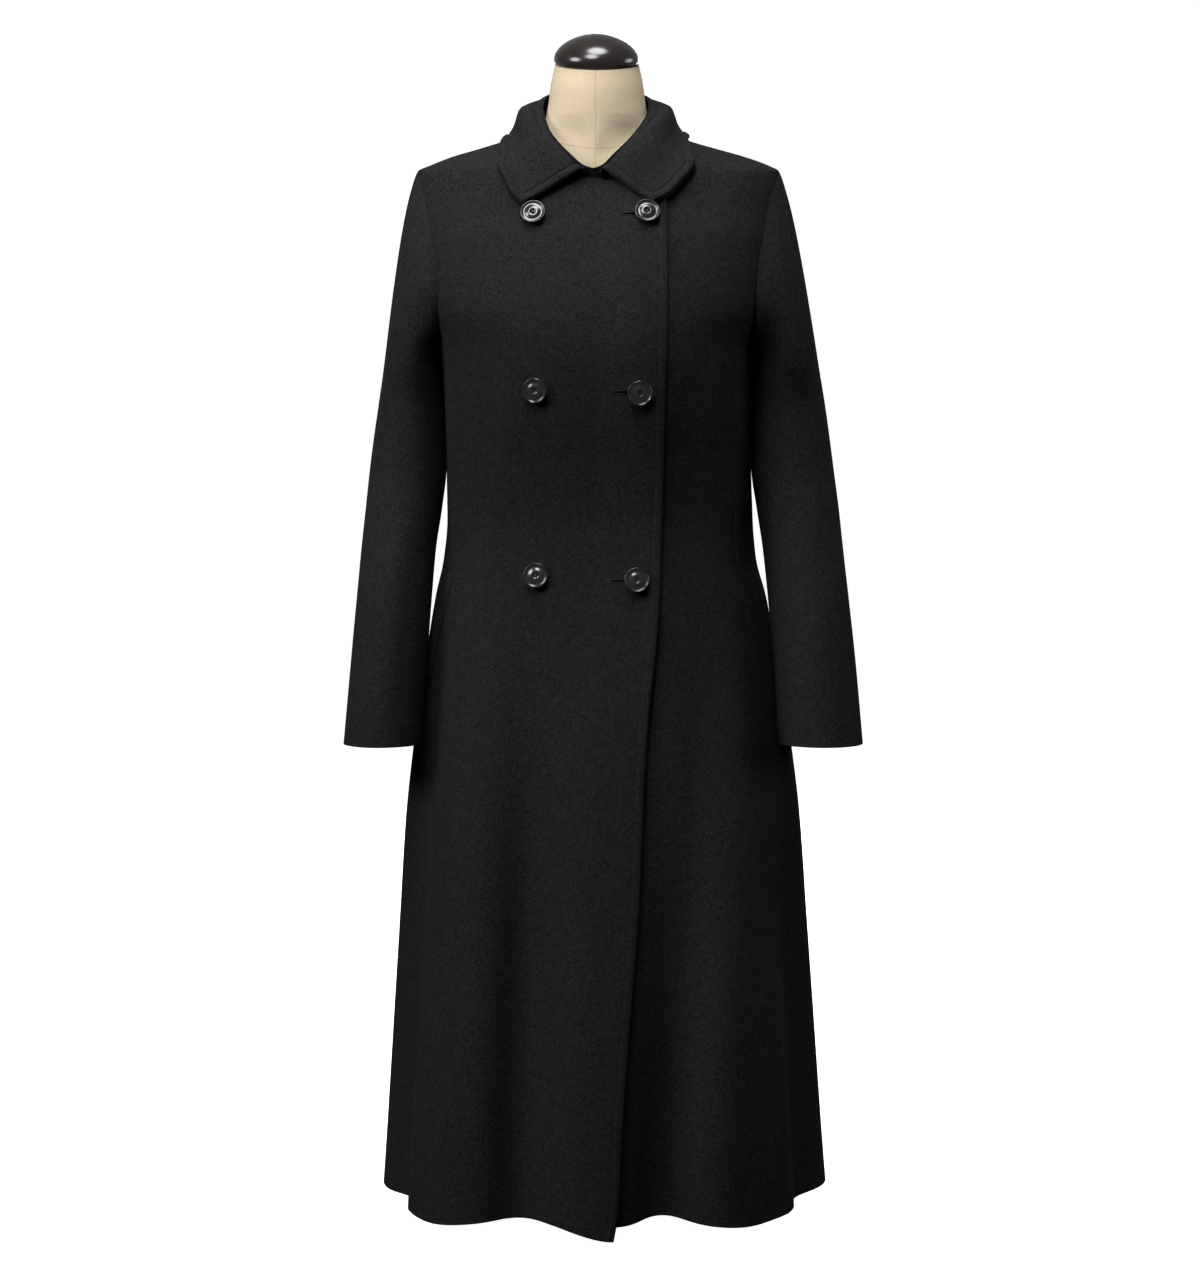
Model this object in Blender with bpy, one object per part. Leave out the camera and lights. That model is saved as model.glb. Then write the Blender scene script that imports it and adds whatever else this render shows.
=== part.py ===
"""A double-breasted tailored coat on a limbless dress form, in metres with +Z up.

+X is the wearer's left and the front faces -Y. The origin is on the underside of the stand's base.
Angles round the body are in degrees, from +X through the back at 90 to the front at 270.
A side of -1 is the wearer's right, a side of +1 the wearer's left.
"""
import math
from collections import namedtuple

import bmesh
import bpy
import numpy as np
from mathutils import Vector
from mathutils.bvhtree import BVHTree

MM = 0.001

# Driving dimensions
CLOTH = 2.5 * MM
STAND_CLOTH = 1.5 * MM
SEAM_GAP = 0.3 * MM
FRONT_LAYER = CLOTH + 2.6 * MM
HEM_HEIGHT = 17 * MM
FRONT_CORNER_DROP = 13 * MM
FRONT_CORNER_WIDTH = 62 * MM
OVERLAP = 138 * MM
CROSSOVER = 50 * MM
CROSSOVER_INSET = 75 * MM
BUTTON_RADIUS = 12.8 * MM
BUTTON_GAP = 0.4 * MM
NECK_CENTRE_HEIGHT = 1080 * MM
NECK_END_HEIGHT = 1056 * MM
CUFF_HEIGHT = 492 * MM
BICEP_HEIGHT = 881 * MM

# Armhole: its top is the shoulder tip, its widest part lies below its middle
ARMHOLE_TOP = 1084 * MM
ARMHOLE_BOTTOM = 897 * MM
ARMHOLE_HALF_ANGLE = 18.6
ARMHOLE_EGG = 0.49
YOKE_END = 76
PANEL_JOINT = 135

# Dress form and stand
CAP_RADIUS = 44.6 * MM
CAP_HEIGHT = 31.5 * MM
FORM_SHOULDER_TOP = 1130 * MM
NECK_LOW = 1140 * MM
NECK_TOP = 1195 * MM
NECK_TILT = 0.16
FORM_BOTTOM = 560 * MM
POLE_RADIUS = 12 * MM
BASE_RADIUS = 100 * MM
BASE_HEIGHT = 14 * MM
STAND_BACK = 20 * MM

# Counts of faces
SEAM_ROWS = 16
ARMHOLE_SIDE_STEPS = 4
ARMHOLE_UNDER_STEPS = 6
YOKE_STEPS = 6
YOKE_ACROSS = 8
NECK_STEPS = 4
EXTENSION_STEPS = 2
BACK_NECK_STEPS = 6
HEAD_STEPS = 5
SLEEVE_STEPS = 9
COLLAR_STEPS = 24
LEAF_STEPS = 5
ROUND_SIDES = 16
FORM_SIDES = 24

# Sleeve head: its lean in degrees, and the reach of its curve as shares of its span
HEAD_LEAN = 35
HEAD_LEAVE = 0.2
HEAD_LEAVE_CHANGE = 0.07
HEAD_ARRIVE = 0.34

# Shares of the way up where a panel's rows start to follow its top edge
FRONT_TOP_START = 0.8
SIDE_TOP_START = 0.6

# Sections of the coat's outer face in mm, its half widths, depths and squareness by height
Section = namedtuple("Section", "height left right front back square")
BODY = [
    Section(0, 225, 243, 208, 204, 2.6),
    Section(79, 220, 237, 202, 197, 2.6),
    Section(198, 213, 229, 189, 183, 2.5),
    Section(301, 207, 222, 174, 168, 2.4),
    Section(404, 201, 215, 159, 151, 2.35),
    Section(482, 193, 206, 147, 138, 2.3),
    Section(583, 179, 190, 129, 116, 2.3),
    Section(642, 169, 178, 119, 102, 2.35),
    Section(682, 160, 167, 113, 93, 2.4),
    Section(723, 156, 163, 110, 88, 2.4),
    Section(777, 157, 161, 115, 90, 2.4),
    Section(842, 159, 162, 125, 98, 2.4),
    Section(897, 163, 164, 129, 108, 2.4),
    Section(940, 175, 175, 124, 112, 2.5),
    Section(1007, 183, 183, 103, 111, 2.5),
    Section(1042, 186, 187, 87, 107, 2.3),
    Section(1084, 187, 190, 69, 99, 1.9),
    Section(1091, 173, 178, 66, 96, 1.6),
    Section(1100, 150, 153, 63, 93, 1.35),
    Section(1107, 126, 128, 61, 90, 1.25),
    Section(1114, 103, 103, 59, 86, 1.2),
    Section(1121, 82, 82, 57, 82, 1.3),
    Section(1128, 67, 67, 55, 78, 1.6),
    Section(1140, 60, 60, 52, 73, 2.0),
]

# Folds of the skirt: place and spread in degrees, height at the hem in mm, and where each starts in mm
Fold = namedtuple("Fold", "angle width rise top")
FOLDS = [
    Fold(199, 11, -27, 720),
    Fold(228, 11, 11, 640),
    Fold(246, 8, -11, 640),
    Fold(266, 9, 6, 560),
    Fold(289, 8, -12, 660),
    Fold(307, 11, 10, 640),
    Fold(342, 14, -30, 740),
    Fold(8, 12, 4, 600),
    Fold(42, 12, -12, 620),
    Fold(66, 11, 9, 600),
    Fold(90, 10, -10, 560),
    Fold(114, 11, 9, 600),
    Fold(138, 12, -12, 620),
    Fold(172, 12, 4, 600),
]
FOLD_GROWTH = 0.8

# Waves of the front's hem: where each lies and its spread in degrees, and its height in mm
HemWave = namedtuple("HemWave", "angle width rise")
HEM_WAVES = [
    HemWave(228, 8, -3),
    HemWave(247, 8, 5),
    HemWave(289, 7, 8),
    HemWave(308, 8, -3),
]

# Edge of the top front: how far it lies past the middle, in mm
FrontEdge = namedtuple("FrontEdge", "height across")
FRONT_EDGE = [
    FrontEdge(0, 14),
    FrontEdge(28, 19),
    FrontEdge(118, 24),
    FrontEdge(228, 32),
    FrontEdge(310, 39),
    FrontEdge(421, 46),
    FrontEdge(495, 51),
    FrontEdge(610, 61),
    FrontEdge(727, 65),
    FrontEdge(834, 68),
    FrontEdge(990, 72),
    FrontEdge(1060, 71),
]

# Long seams, as shares of the half width on the coat's front and on its back
LongSeam = namedtuple("LongSeam", "height front back")
LONG_SEAMS = [
    LongSeam(0, 0.84, 0.78),
    LongSeam(128, 0.82, 0.78),
    LongSeam(300, 0.84, 0.79),
    LongSeam(560, 0.89, 0.80),
    LongSeam(720, 0.885, 0.80),
    LongSeam(840, 0.87, 0.82),
    LongSeam(925, 0.95, 0.95),
]

# Neckline by turn from the middle of the front, and the ends of the yoke on it
Neckline = namedtuple("Neckline", "turn height")
NECKLINE = [
    Neckline(0, 1080),
    Neckline(27, 1086),
    Neckline(53, 1104),
    Neckline(75, 1123),
    Neckline(90, 1129),
    Neckline(130, 1134),
    Neckline(180, 1135),
]
YOKE_FRONT_TURN = 53
YOKE_BACK_TURN = 130

# Yoke seam between the neckline and the armhole, in mm
YokeSeam = namedtuple("YokeSeam", "across front_height back_height")
YOKE_SEAM = [
    YokeSeam(103, 1088, 1098),
    YokeSeam(133, 1077, 1080),
    YokeSeam(148, 1068, 1069),
    YokeSeam(159, 1055, 1055),
    YokeSeam(167, 1037, 1037),
]

# Sleeve rings in mm: distances out from the middle, and how far they reach to the front and the back
SleeveRing = namedtuple("SleeveRing", "height inner_right outer_right inner_left outer_left front back")
SLEEVES = [
    SleeveRing(881, 163.5, 224, 164.5, 233, 52, 72),
    SleeveRing(842, 159.2, 230, 162.2, 240, 46, 78),
    SleeveRing(777, 157.8, 238, 161.8, 248, 50, 70),
    SleeveRing(735, 162, 242, 167, 253, 59, 59),
    SleeveRing(693, 168, 246, 173, 257, 70, 46),
    SleeveRing(642, 172, 250, 178, 262, 83, 31),
    SleeveRing(583, 176, 255, 183, 268, 96, 15),
    SleeveRing(486, 183, 263, 189, 276, 112, -6),
]

# Collar in mm and degrees, from its front end to the middle of the back
COLLAR_COLUMNS = "share band_turn roll_turn roll_centre roll_height edge_right edge_left edge_height"
CollarRow = namedtuple("CollarRow", COLLAR_COLUMNS)
COLLAR = [
    CollarRow(0.0, 0.4, 7, -4, 1087, 41, 34, 1046),
    CollarRow(0.15, 25, 27, -5.5, 1102, 55, 52, 1074),
    CollarRow(0.3, 50, 50, -4.5, 1122, 67, 65, 1097),
    CollarRow(0.45, 75, 75, -1.5, 1146, 90, 90, 1114.5),
    CollarRow(0.62, 105, 105, -1, 1164, 114, 114, 1111),
    CollarRow(0.8, 140, 140, -1, 1174, 145, 145, 1104),
    CollarRow(1.0, 180, 180, -1, 1177, 180, 180, 1100),
]
COLLAR_CENTRE = -1.5 * MM
ROLL_HALF_WIDTH = 59 * MM
ROLL_FRONT = 82 * MM
ROLL_BACK = 78 * MM
LEAF_LIFT = 5.5 * MM
LEAF_BULGE = 3 * MM
LEAF_BULGE_POWER = 0.7
LEAF_OVER_FRONT = 0.6
STAND_DROP = 2.2 * MM
STAND_INSET = 3.2 * MM
STAND_SEAT = 0.9 * MM

# Ease between the cloth and the dress form, in mm
Ease = namedtuple("Ease", "height gap")
FORM_EASE = [
    Ease(560, 25),
    Ease(642, 14),
    Ease(723, 9),
    Ease(842, 7),
    Ease(897, 9),
    Ease(960, 15),
    Ease(1060, 14),
    Ease(1084, 4),
    Ease(1092, 1.6),
    Ease(1128, 1.4),
]
FORM_RELIEF = 7 * MM

# Neck of the dress form in mm
FORM_NECK = [
    Section(1140, 53, 53, 52, 58, 2.0),
    Section(1154, 50.5, 50.5, 50, 53, 2.0),
    Section(1174, 48, 48, 48, 48, 2.0),
    Section(1195, 43.5, 43.5, 44, 43, 2.0),
]

# Buttons on the top front in mm
ButtonPlace = namedtuple("ButtonPlace", "name across height")
BUTTONS = [
    ButtonPlace("button_right_1", -64.7, 1036),
    ButtonPlace("button_right_2", -62, 857),
    ButtonPlace("button_right_3", -61.7, 668),
    ButtonPlace("button_left_1", 50.3, 1034.5),
    ButtonPlace("button_left_2", 42.1, 855),
    ButtonPlace("button_left_3", 39.3, 662.5),
]

# Outlines of the turned pieces: the button's as shares of its radius, the others' of radius and height
Ring = namedtuple("Ring", "out up")
BUTTON_PROFILE = [
    Ring(0.34, 0.0),
    Ring(0.34, 0.14),
    Ring(0.90, 0.22),
    Ring(1.0, 0.38),
    Ring(0.92, 0.52),
    Ring(0.70, 0.50),
    Ring(0.26, 0.54),
]
CAP_PROFILE = [
    Ring(0.93, 0),
    Ring(1.0, 0.12),
    Ring(1.0, 0.2),
    Ring(0.90, 0.56),
    Ring(0.74, 0.77),
    Ring(0.50, 0.91),
    Ring(0.28, 0.98),
    Ring(0.1, 1.0),
]
BASE_PROFILE = [
    Ring(1.0, 0),
    Ring(1.0, 0.35),
    Ring(0.9, 0.6),
    Ring(0.3, 1.0),
]

# Pocket welts on the side panels: along the mouth in mm of height and in degrees behind the long seam
POCKET_TOP = 668 * MM
POCKET_LENGTH = 110 * MM
POCKET_WIDTH_ANGLE = 6.5
POCKET_START_ANGLE = 3
POCKET_SLANT_ANGLE = 4
POCKET_ROWS = 6
WELT = 1.6 * MM
WELT_GAP = 0.5 * MM
PANEL_SEARCH = 30 * MM

# Finishes
Finish = namedtuple("Finish", "colour roughness")
FINISHES = {
    "wool": Finish((0.012, 0.012, 0.013, 1), 0.9),
    "button_black": Finish((0.01, 0.009, 0.009, 1), 0.15),
    "linen": Finish((0.62, 0.53, 0.41, 1), 0.85),
    "lacquer": Finish((0.012, 0.009, 0.008, 1), 0.12),
    "white_enamel": Finish((0.8, 0.8, 0.8, 1), 0.4),
}
SMOOTH_ANGLE = 40


def smooth_curve(places, values):
    """Return a function that runs smoothly through the points and never past them."""
    place = np.array(places, float)
    value = np.array(values, float)
    step = np.diff(place)
    rise = np.diff(value) / step
    slope = np.zeros(len(place))
    slope[0] = rise[0]
    slope[-1] = rise[-1]
    for index in range(1, len(place) - 1):
        before, after = rise[index - 1], rise[index]
        if before * after > 0:
            slope[index] = 2 * before * after / (before + after)

    def read(at):
        at = min(max(at, place[0]), place[-1])
        index = min(max(int(np.searchsorted(place, at)) - 1, 0), len(step) - 1)
        share = (at - place[index]) / step[index]
        rest = 1 - share
        start = value[index] * (1 + 2 * share) + slope[index] * step[index] * share
        end = value[index + 1] * (1 + 2 * rest) - slope[index + 1] * step[index] * rest
        return float(start * rest * rest + end * share * share)

    return read


def columns(table, scales):
    """Return a smooth curve for each column of a table, against its first column."""
    names = table[0]._fields
    places = [row[0] * scales.get(names[0], MM) for row in table]
    return {
        name: smooth_curve(places, [getattr(row, name) * scales.get(name, MM) for row in table])
        for name in names[1:]
    }


BODY_AT = columns(BODY, {"square": 1})
FRONT_EDGE_AT = columns(FRONT_EDGE, {})["across"]
LONG_SEAM_AT = columns(LONG_SEAMS, {"front": 1, "back": 1})
NECKLINE_AT = columns(NECKLINE, {"turn": 1})["height"]
SLEEVE_AT = columns(SLEEVES[::-1], {})
COLLAR_SCALES = dict.fromkeys(("share", "band_turn", "roll_turn", "edge_right", "edge_left"), 1)
COLLAR_AT = columns(COLLAR, COLLAR_SCALES)
EASE_AT = columns(FORM_EASE, {})["gap"]


def smooth_step(value):
    """Rise smoothly from 0 to 1 while the value does."""
    value = min(max(value, 0), 1)
    return value * value * (3 - 2 * value)


def oval_radius(angle, right, left, back, front, square):
    """Return how far a rounded section reaches in one direction."""
    cosine = math.cos(math.radians(angle))
    sine = math.sin(math.radians(angle))
    across = abs(cosine) / (right if cosine > 0 else left)
    along = abs(sine) / (back if sine > 0 else front)
    return (across ** square + along ** square) ** (-1 / square)


def fold_rise(angle, height):
    """Return how far the skirt's folds push the cloth out."""
    total = 0
    for fold in FOLDS:
        top = fold.top * MM
        if height < top:
            away = (angle - fold.angle + 180) % 360 - 180
            growth = ((top - height) / (top - HEM_HEIGHT)) ** FOLD_GROWTH
            total += fold.rise * MM * growth * math.exp(-((away / fold.width) ** 2))
    return total


def body_point(angle, height):
    """Return a point of the coat's outer face."""
    sizes = {name: curve(height) for name, curve in BODY_AT.items()}
    radius = oval_radius(angle, **sizes) + fold_rise(angle, height)
    turn = math.radians(angle)
    return Vector((radius * math.cos(turn), radius * math.sin(turn), height))


def body_normal(angle, height):
    """Return the outward direction of the coat's outer face."""
    turn_step = 0.5
    height_step = 1.5 * MM
    across = body_point(angle + turn_step, height) - body_point(angle - turn_step, height)
    upward = body_point(angle, height + height_step) - body_point(angle, height - height_step)
    return across.cross(upward).normalized()


def angle_at(across, height, back=False):
    """Return the angle where the coat reaches a distance from its middle, in front or behind."""
    half_width = BODY_AT["right" if across > 0 else "left"](height)
    depth = BODY_AT["back"](height) if back else -BODY_AT["front"](height)
    square = BODY_AT["square"](height)
    share = min(abs(across) / half_width, 1)
    along = depth * (1 - share ** square) ** (1 / square)
    return math.degrees(math.atan2(along, across)) % 360


def near(angle, middle):
    """Return the same angle counted within half a turn of a middle."""
    return (angle - middle + 180) % 360 - 180 + middle


def side_angle(angle, side):
    """Turn an angle given for the wearer's left to the named side."""
    return angle if side > 0 else 180 - angle


# Seam lines as lists of an angle and a height


def armhole_place(side, turn):
    """Return a place on the armhole, from 0 at its top through 90 in front and 180 below."""
    sine = math.sin(math.radians(turn))
    cosine = math.cos(math.radians(turn))
    middle = (ARMHOLE_TOP + ARMHOLE_BOTTOM) / 2
    half_height = (ARMHOLE_TOP - ARMHOLE_BOTTOM) / 2
    angle = -ARMHOLE_HALF_ANGLE * sine * (1 - ARMHOLE_EGG * cosine)
    return side_angle(angle, side), middle + half_height * cosine


def armhole_turns():
    """Return the turns of the points shared by all pieces that meet at the armhole."""
    upper = np.linspace(-YOKE_END, YOKE_END, YOKE_ACROSS + 1)
    front = np.linspace(YOKE_END, PANEL_JOINT, ARMHOLE_SIDE_STEPS + 1)
    under = np.linspace(PANEL_JOINT, 360 - PANEL_JOINT, ARMHOLE_UNDER_STEPS + 1)
    back = np.linspace(360 - PANEL_JOINT, 360 - YOKE_END, ARMHOLE_SIDE_STEPS + 1)
    return list(upper), list(front), list(under), list(back)


def armhole_line(side, turns):
    return [armhole_place(side, turn) for turn in turns]


def long_seam(side, back):
    """Return the seam from the hem to the armhole, in front of or behind the side panel."""
    joint = armhole_place(side, 360 - PANEL_JOINT if back else PANEL_JOINT)
    heights = np.linspace(HEM_HEIGHT, joint[1], SEAM_ROWS + 1)
    half_width = BODY_AT["right" if side > 0 else "left"]
    share = LONG_SEAM_AT["back" if back else "front"]
    line = [(angle_at(side * share(h) * half_width(h), h, back), h) for h in heights[:-1]]
    return line + [joint]


def neck_place(side, turn):
    return 270 + side * turn, NECKLINE_AT(turn)


def yoke_seam(side, back):
    """Return the seam from the armhole to the neckline, in front of or behind the shoulder."""
    turn = YOKE_BACK_TURN if back else YOKE_FRONT_TURN
    neck_angle, neck_height = neck_place(side, turn)
    start = armhole_place(side, -YOKE_END if back else YOKE_END)
    rows = [(neck_angle, neck_height)]
    for row in YOKE_SEAM:
        height = (row.back_height if back else row.front_height) * MM
        rows.append((angle_at(side * row.across * MM, height, back), height))
    rows.append(start)
    middle = 90 if back else 270
    points = [body_point(angle, height) for angle, height in rows]
    lengths = np.cumsum([0] + [(b - a).length for a, b in zip(points, points[1:])])
    angle_curve = smooth_curve(lengths, [near(angle, middle) for angle, _ in rows])
    height_curve = smooth_curve(lengths, [height for _, height in rows])
    places = np.linspace(lengths[-1], 0, YOKE_STEPS + 1)
    return [(angle_curve(place), height_curve(place)) for place in places]


def neck_line(side, first, last, steps):
    return [neck_place(side, turn) for turn in np.linspace(first, last, steps + 1)]


# Walls of cloth


def patch(bottom, top, left, right, middle, top_start):
    """Fill four seam lines that share their corners with a grid of angles and heights.

    The top line shapes only the rows above top_start, a share of the way up.
    """
    lines = [[np.array((near(a, middle), h)) for a, h in line] for line in (bottom, top, left, right)]
    bottom, top, left, right = lines
    last_column = len(bottom) - 1
    last_row = len(left) - 1
    grid = []
    for j in range(last_row + 1):
        t = j / last_row
        reach = max(0, (t - top_start) / (1 - top_start))
        row = []
        for i in range(last_column + 1):
            s = i / last_column
            sides = (1 - s) * left[j] + s * right[j]
            low = (1 - s) * bottom[0] + s * bottom[-1]
            high = (1 - s) * top[0] + s * top[-1]
            row.append(sides + (1 - t) * (bottom[i] - low) + reach * (top[i] - high))
        grid.append(row)
    return trimmed(grid)


def trimmed(grid):
    """Draw a grid's edges in by half a seam gap."""
    for _ in range(2):
        for edge, inner in ((0, 1), (-1, -2)):
            for i, place in enumerate(grid[edge]):
                span = (body_point(*grid[inner][i]) - body_point(*place)).length
                grid[edge][i] = place + (grid[inner][i] - place) * (SEAM_GAP / 2 / span)
        grid = [list(row) for row in zip(*grid)]
    return grid


def offset_grid(points, distance):
    """Return a grid of points moved square to itself."""
    cells = np.array([[tuple(p) for p in row] for row in points])
    along = np.gradient(cells, axis=0)
    across = np.gradient(cells, axis=1)
    normal = np.cross(across, along)
    normal /= np.linalg.norm(normal, axis=2)[:, :, None]
    return [[Vector(p) for p in row] for row in cells + normal * distance]


def solid(name, outer, inner, finish):
    """Close two grids of points into one wall."""
    rows = len(outer)
    across = len(outer[0])
    count = rows * across
    points = [p for row in outer for p in row] + [p for row in inner for p in row]

    def index(j, i, inside):
        return j * across + i + (count if inside else 0)

    faces = []
    for inside in (False, True):
        for j in range(rows - 1):
            for i in range(across - 1):
                corners = ((j, i), (j, i + 1), (j + 1, i + 1), (j + 1, i))
                face = [index(*corner, inside) for corner in corners]
                faces.append(face[::-1] if inside else face)
    rim = [(0, i) for i in range(across)]
    rim += [(j, across - 1) for j in range(1, rows)]
    rim += [(rows - 1, i) for i in range(across - 2, -1, -1)]
    rim += [(j, 0) for j in range(rows - 2, 0, -1)]
    for here, there in zip(rim, rim[1:] + rim[:1]):
        faces.append([index(*here, True), index(*there, True), index(*there, False), index(*here, False)])
    return add_object(name, points, faces, finish)


def add_object(name, points, faces, finish):
    """Make one closed object with its faces turned out and its round parts smooth."""
    mesh = bpy.data.meshes.new(name)
    mesh.from_pydata([tuple(p) for p in points], [], faces)
    shape = bmesh.new()
    shape.from_mesh(mesh)
    bmesh.ops.recalc_face_normals(shape, faces=shape.faces)
    bmesh.ops.triangulate(shape, faces=shape.faces)
    shape.to_mesh(mesh)
    shape.free()
    mesh.shade_smooth()
    mesh.set_sharp_from_angle(angle=math.radians(SMOOTH_ANGLE))
    mesh.materials.append(finish)
    piece = bpy.data.objects.new(name, mesh)
    bpy.context.scene.collection.objects.link(piece)
    return piece


def flat_layer(point, height):
    return 0


def cloth_panel(name, grid, finish, lift=flat_layer, thickness=CLOTH):
    """Make a wall on the body from a grid of angles and heights."""
    outer = []
    inner = []
    for row in grid:
        outer_row = []
        inner_row = []
        for angle, height in row:
            normal = body_normal(angle, height)
            point = body_point(angle, height)
            point = point + normal * lift(point, height)
            outer_row.append(point)
            inner_row.append(point - normal * thickness)
        outer.append(outer_row)
        inner.append(inner_row)
    return solid(name, outer, inner, finish)


# Pieces of the coat


def crossing(point, height):
    """Rise from 0 to 1 across the strip where the two fronts change places."""
    start = FRONT_EDGE_AT(height) - CROSSOVER_INSET
    return smooth_step((point.x - start) / CROSSOVER)


def top_layer(point, height):
    return FRONT_LAYER * crossing(point, height)


def under_layer(point, height):
    return FRONT_LAYER * (crossing(point, height) - 1)


def front_edge_line(outer_seam, shift, end_height):
    """Return a front's free edge, with a row for each row of its outer seam."""
    steps = len(outer_seam) - 1
    joint_height = outer_seam[SEAM_ROWS][1]
    heights = [height for _, height in outer_seam[:SEAM_ROWS]]
    heights += list(np.linspace(joint_height, end_height, steps - SEAM_ROWS + 1))
    return [(angle_at(FRONT_EDGE_AT(h) - shift, h), h) for h in heights]


def hem_wave(angle):
    """Return how far the front's hem rises at an angle."""
    return sum(w.rise * MM * math.exp(-(((angle - w.angle) / w.width) ** 2)) for w in HEM_WAVES)


def front(name, side, shift, drop, lift, finish):
    """Make a front from its long seam to its free edge."""
    _, armhole_front, _, _ = armhole_turns()
    outer = long_seam(side, False) + armhole_line(side, armhole_front[::-1])[1:]
    edge = front_edge_line(outer, shift, NECK_END_HEIGHT)
    if drop:
        low = edge[0][1] - drop
        edge[0] = (angle_at(FRONT_EDGE_AT(low), low), low)
    extension_angles = np.linspace(270, edge[-1][0], EXTENSION_STEPS + 1)
    extension_heights = np.linspace(NECK_CENTRE_HEIGHT, NECK_END_HEIGHT, EXTENSION_STEPS + 1)
    top = yoke_seam(side, False)
    top += neck_line(side, YOKE_FRONT_TURN, 0, NECK_STEPS)[1:]
    top += list(zip(extension_angles, extension_heights))[1:]
    hem_angles = np.linspace(near(outer[0][0], 270), near(edge[0][0], 270), len(top))
    hem = []
    for angle in hem_angles:
        to_corner = abs(body_point(angle, HEM_HEIGHT).x - body_point(edge[0][0], HEM_HEIGHT).x)
        corner = drop * smooth_step(1 - to_corner / FRONT_CORNER_WIDTH)
        hem.append((angle, HEM_HEIGHT + hem_wave(angle) - corner))
    return cloth_panel(name, patch(hem, top, outer, edge, 270, FRONT_TOP_START), finish, lift)


def hem_line(start, end, steps, middle):
    angles = np.linspace(near(start, middle), near(end, middle), steps + 1)
    return [(angle, HEM_HEIGHT) for angle in angles]


def side_panel(name, side, finish):
    """Make the panel under the arm."""
    _, _, under, _ = armhole_turns()
    seam = long_seam(side, False)
    back_seam = long_seam(side, True)
    middle = side_angle(0, side)
    hem = hem_line(seam[0][0], back_seam[0][0], ARMHOLE_UNDER_STEPS, middle)
    top = armhole_line(side, under)
    return cloth_panel(name, patch(hem, top, seam, back_seam, middle, SIDE_TOP_START), finish)


def back_panel(finish):
    """Make the back from seam to seam, up to the yokes and the neckline."""
    _, _, _, armhole_back = armhole_turns()
    left = long_seam(-1, True) + armhole_line(-1, armhole_back)[1:]
    right = long_seam(1, True) + armhole_line(1, armhole_back)[1:]
    top = yoke_seam(-1, True)
    neck = neck_line(-1, YOKE_BACK_TURN, 360 - YOKE_BACK_TURN, BACK_NECK_STEPS)
    top += [(angle, NECKLINE_AT(180 - abs(near(angle, 90) - 90))) for angle, _ in neck[1:]]
    top += yoke_seam(1, True)[::-1][1:]
    hem = hem_line(left[0][0], right[0][0], len(top) - 1, 90)
    return cloth_panel("back", patch(hem, top, left, right, 90, 0), finish)


def yoke(name, side, finish):
    """Make the shoulder piece between the neckline and the armhole."""
    upper, _, _, _ = armhole_turns()
    armhole = armhole_line(side, upper[::-1])
    neck = neck_line(side, YOKE_FRONT_TURN, YOKE_BACK_TURN, YOKE_ACROSS)
    front_seam = yoke_seam(side, False)
    back_seam = yoke_seam(side, True)
    middle = side_angle(0, side)
    return cloth_panel(name, patch(armhole, neck, front_seam, back_seam, middle, 0), finish)


# Sleeves


def sleeve_ring_point(side, turn, height):
    """Return a point of a sleeve's outer face below the armhole."""
    name = "left" if side > 0 else "right"
    inner = SLEEVE_AT["inner_" + name](height)
    outer = SLEEVE_AT["outer_" + name](height)
    front_reach = SLEEVE_AT["front"](height)
    back_reach = SLEEVE_AT["back"](height)
    half_depth = (front_reach + back_reach) / 2
    cosine = math.cos(math.radians(turn))
    sine = math.sin(math.radians(turn))
    across = (inner + outer) / 2 + (outer - inner) / 2 * cosine
    along = (back_reach - front_reach) / 2 - half_depth * sine
    return Vector((side * across, along, height))


def head_lines(side, turn):
    """Return the four control points of the sleeve head's curve from the armhole to the upper arm."""
    angle, height = armhole_place(side, turn)
    edge = body_point(angle, height)
    normal = body_normal(angle, height)
    turn_step = 1.0
    ahead = body_point(*armhole_place(side, turn + turn_step))
    behind = body_point(*armhole_place(side, turn - turn_step))
    inward = normal.cross(ahead - behind).normalized() * side
    cosine = math.cos(math.radians(turn))
    lean = math.radians(HEAD_LEAN + HEAD_LEAN * cosine)
    leave = normal * math.cos(lean) + inward * math.sin(lean)
    start = edge + inward * SEAM_GAP
    end = sleeve_ring_point(side, turn, BICEP_HEIGHT)
    span = (end - start).length
    leave_reach = span * (HEAD_LEAVE - HEAD_LEAVE_CHANGE * cosine)
    return start, start + leave * leave_reach, end + Vector((0, 0, span * HEAD_ARRIVE)), end


def curve_point(lines, share):
    """Return a point of a curve with four control points."""
    rest = 1 - share
    weights = (rest ** 3, 3 * rest ** 2 * share, 3 * rest * share ** 2, share ** 3)
    return sum((line * weight for line, weight in zip(lines, weights)), Vector())


def sleeve_column(side, turn):
    """Return the points down a sleeve at one place round it."""
    lines = head_lines(side, turn)
    column = [curve_point(lines, share) for share in np.linspace(0, 1, HEAD_STEPS + 1)]
    for height in np.linspace(BICEP_HEIGHT, CUFF_HEIGHT, SLEEVE_STEPS + 1)[1:]:
        column.append(sleeve_ring_point(side, turn, height))
    return column


def sleeve_piece(name, outer, inner, first, last, finish):
    """Make one piece of a sleeve from the columns between its two seams."""
    walls = []
    for grid in (outer, inner):
        count = grid.shape[1]
        part = grid[:, [column % count for column in range(first, last + 1)]]
        for edge, neighbour in ((0, 1), (-1, -2)):
            way = part[:, neighbour] - part[:, edge]
            part[:, edge] += way * (SEAM_GAP / 2 / np.linalg.norm(way, axis=1))[:, None]
        walls.append([[Vector(p) for p in row] for row in part])
    return solid(name, *walls, finish)


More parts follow.
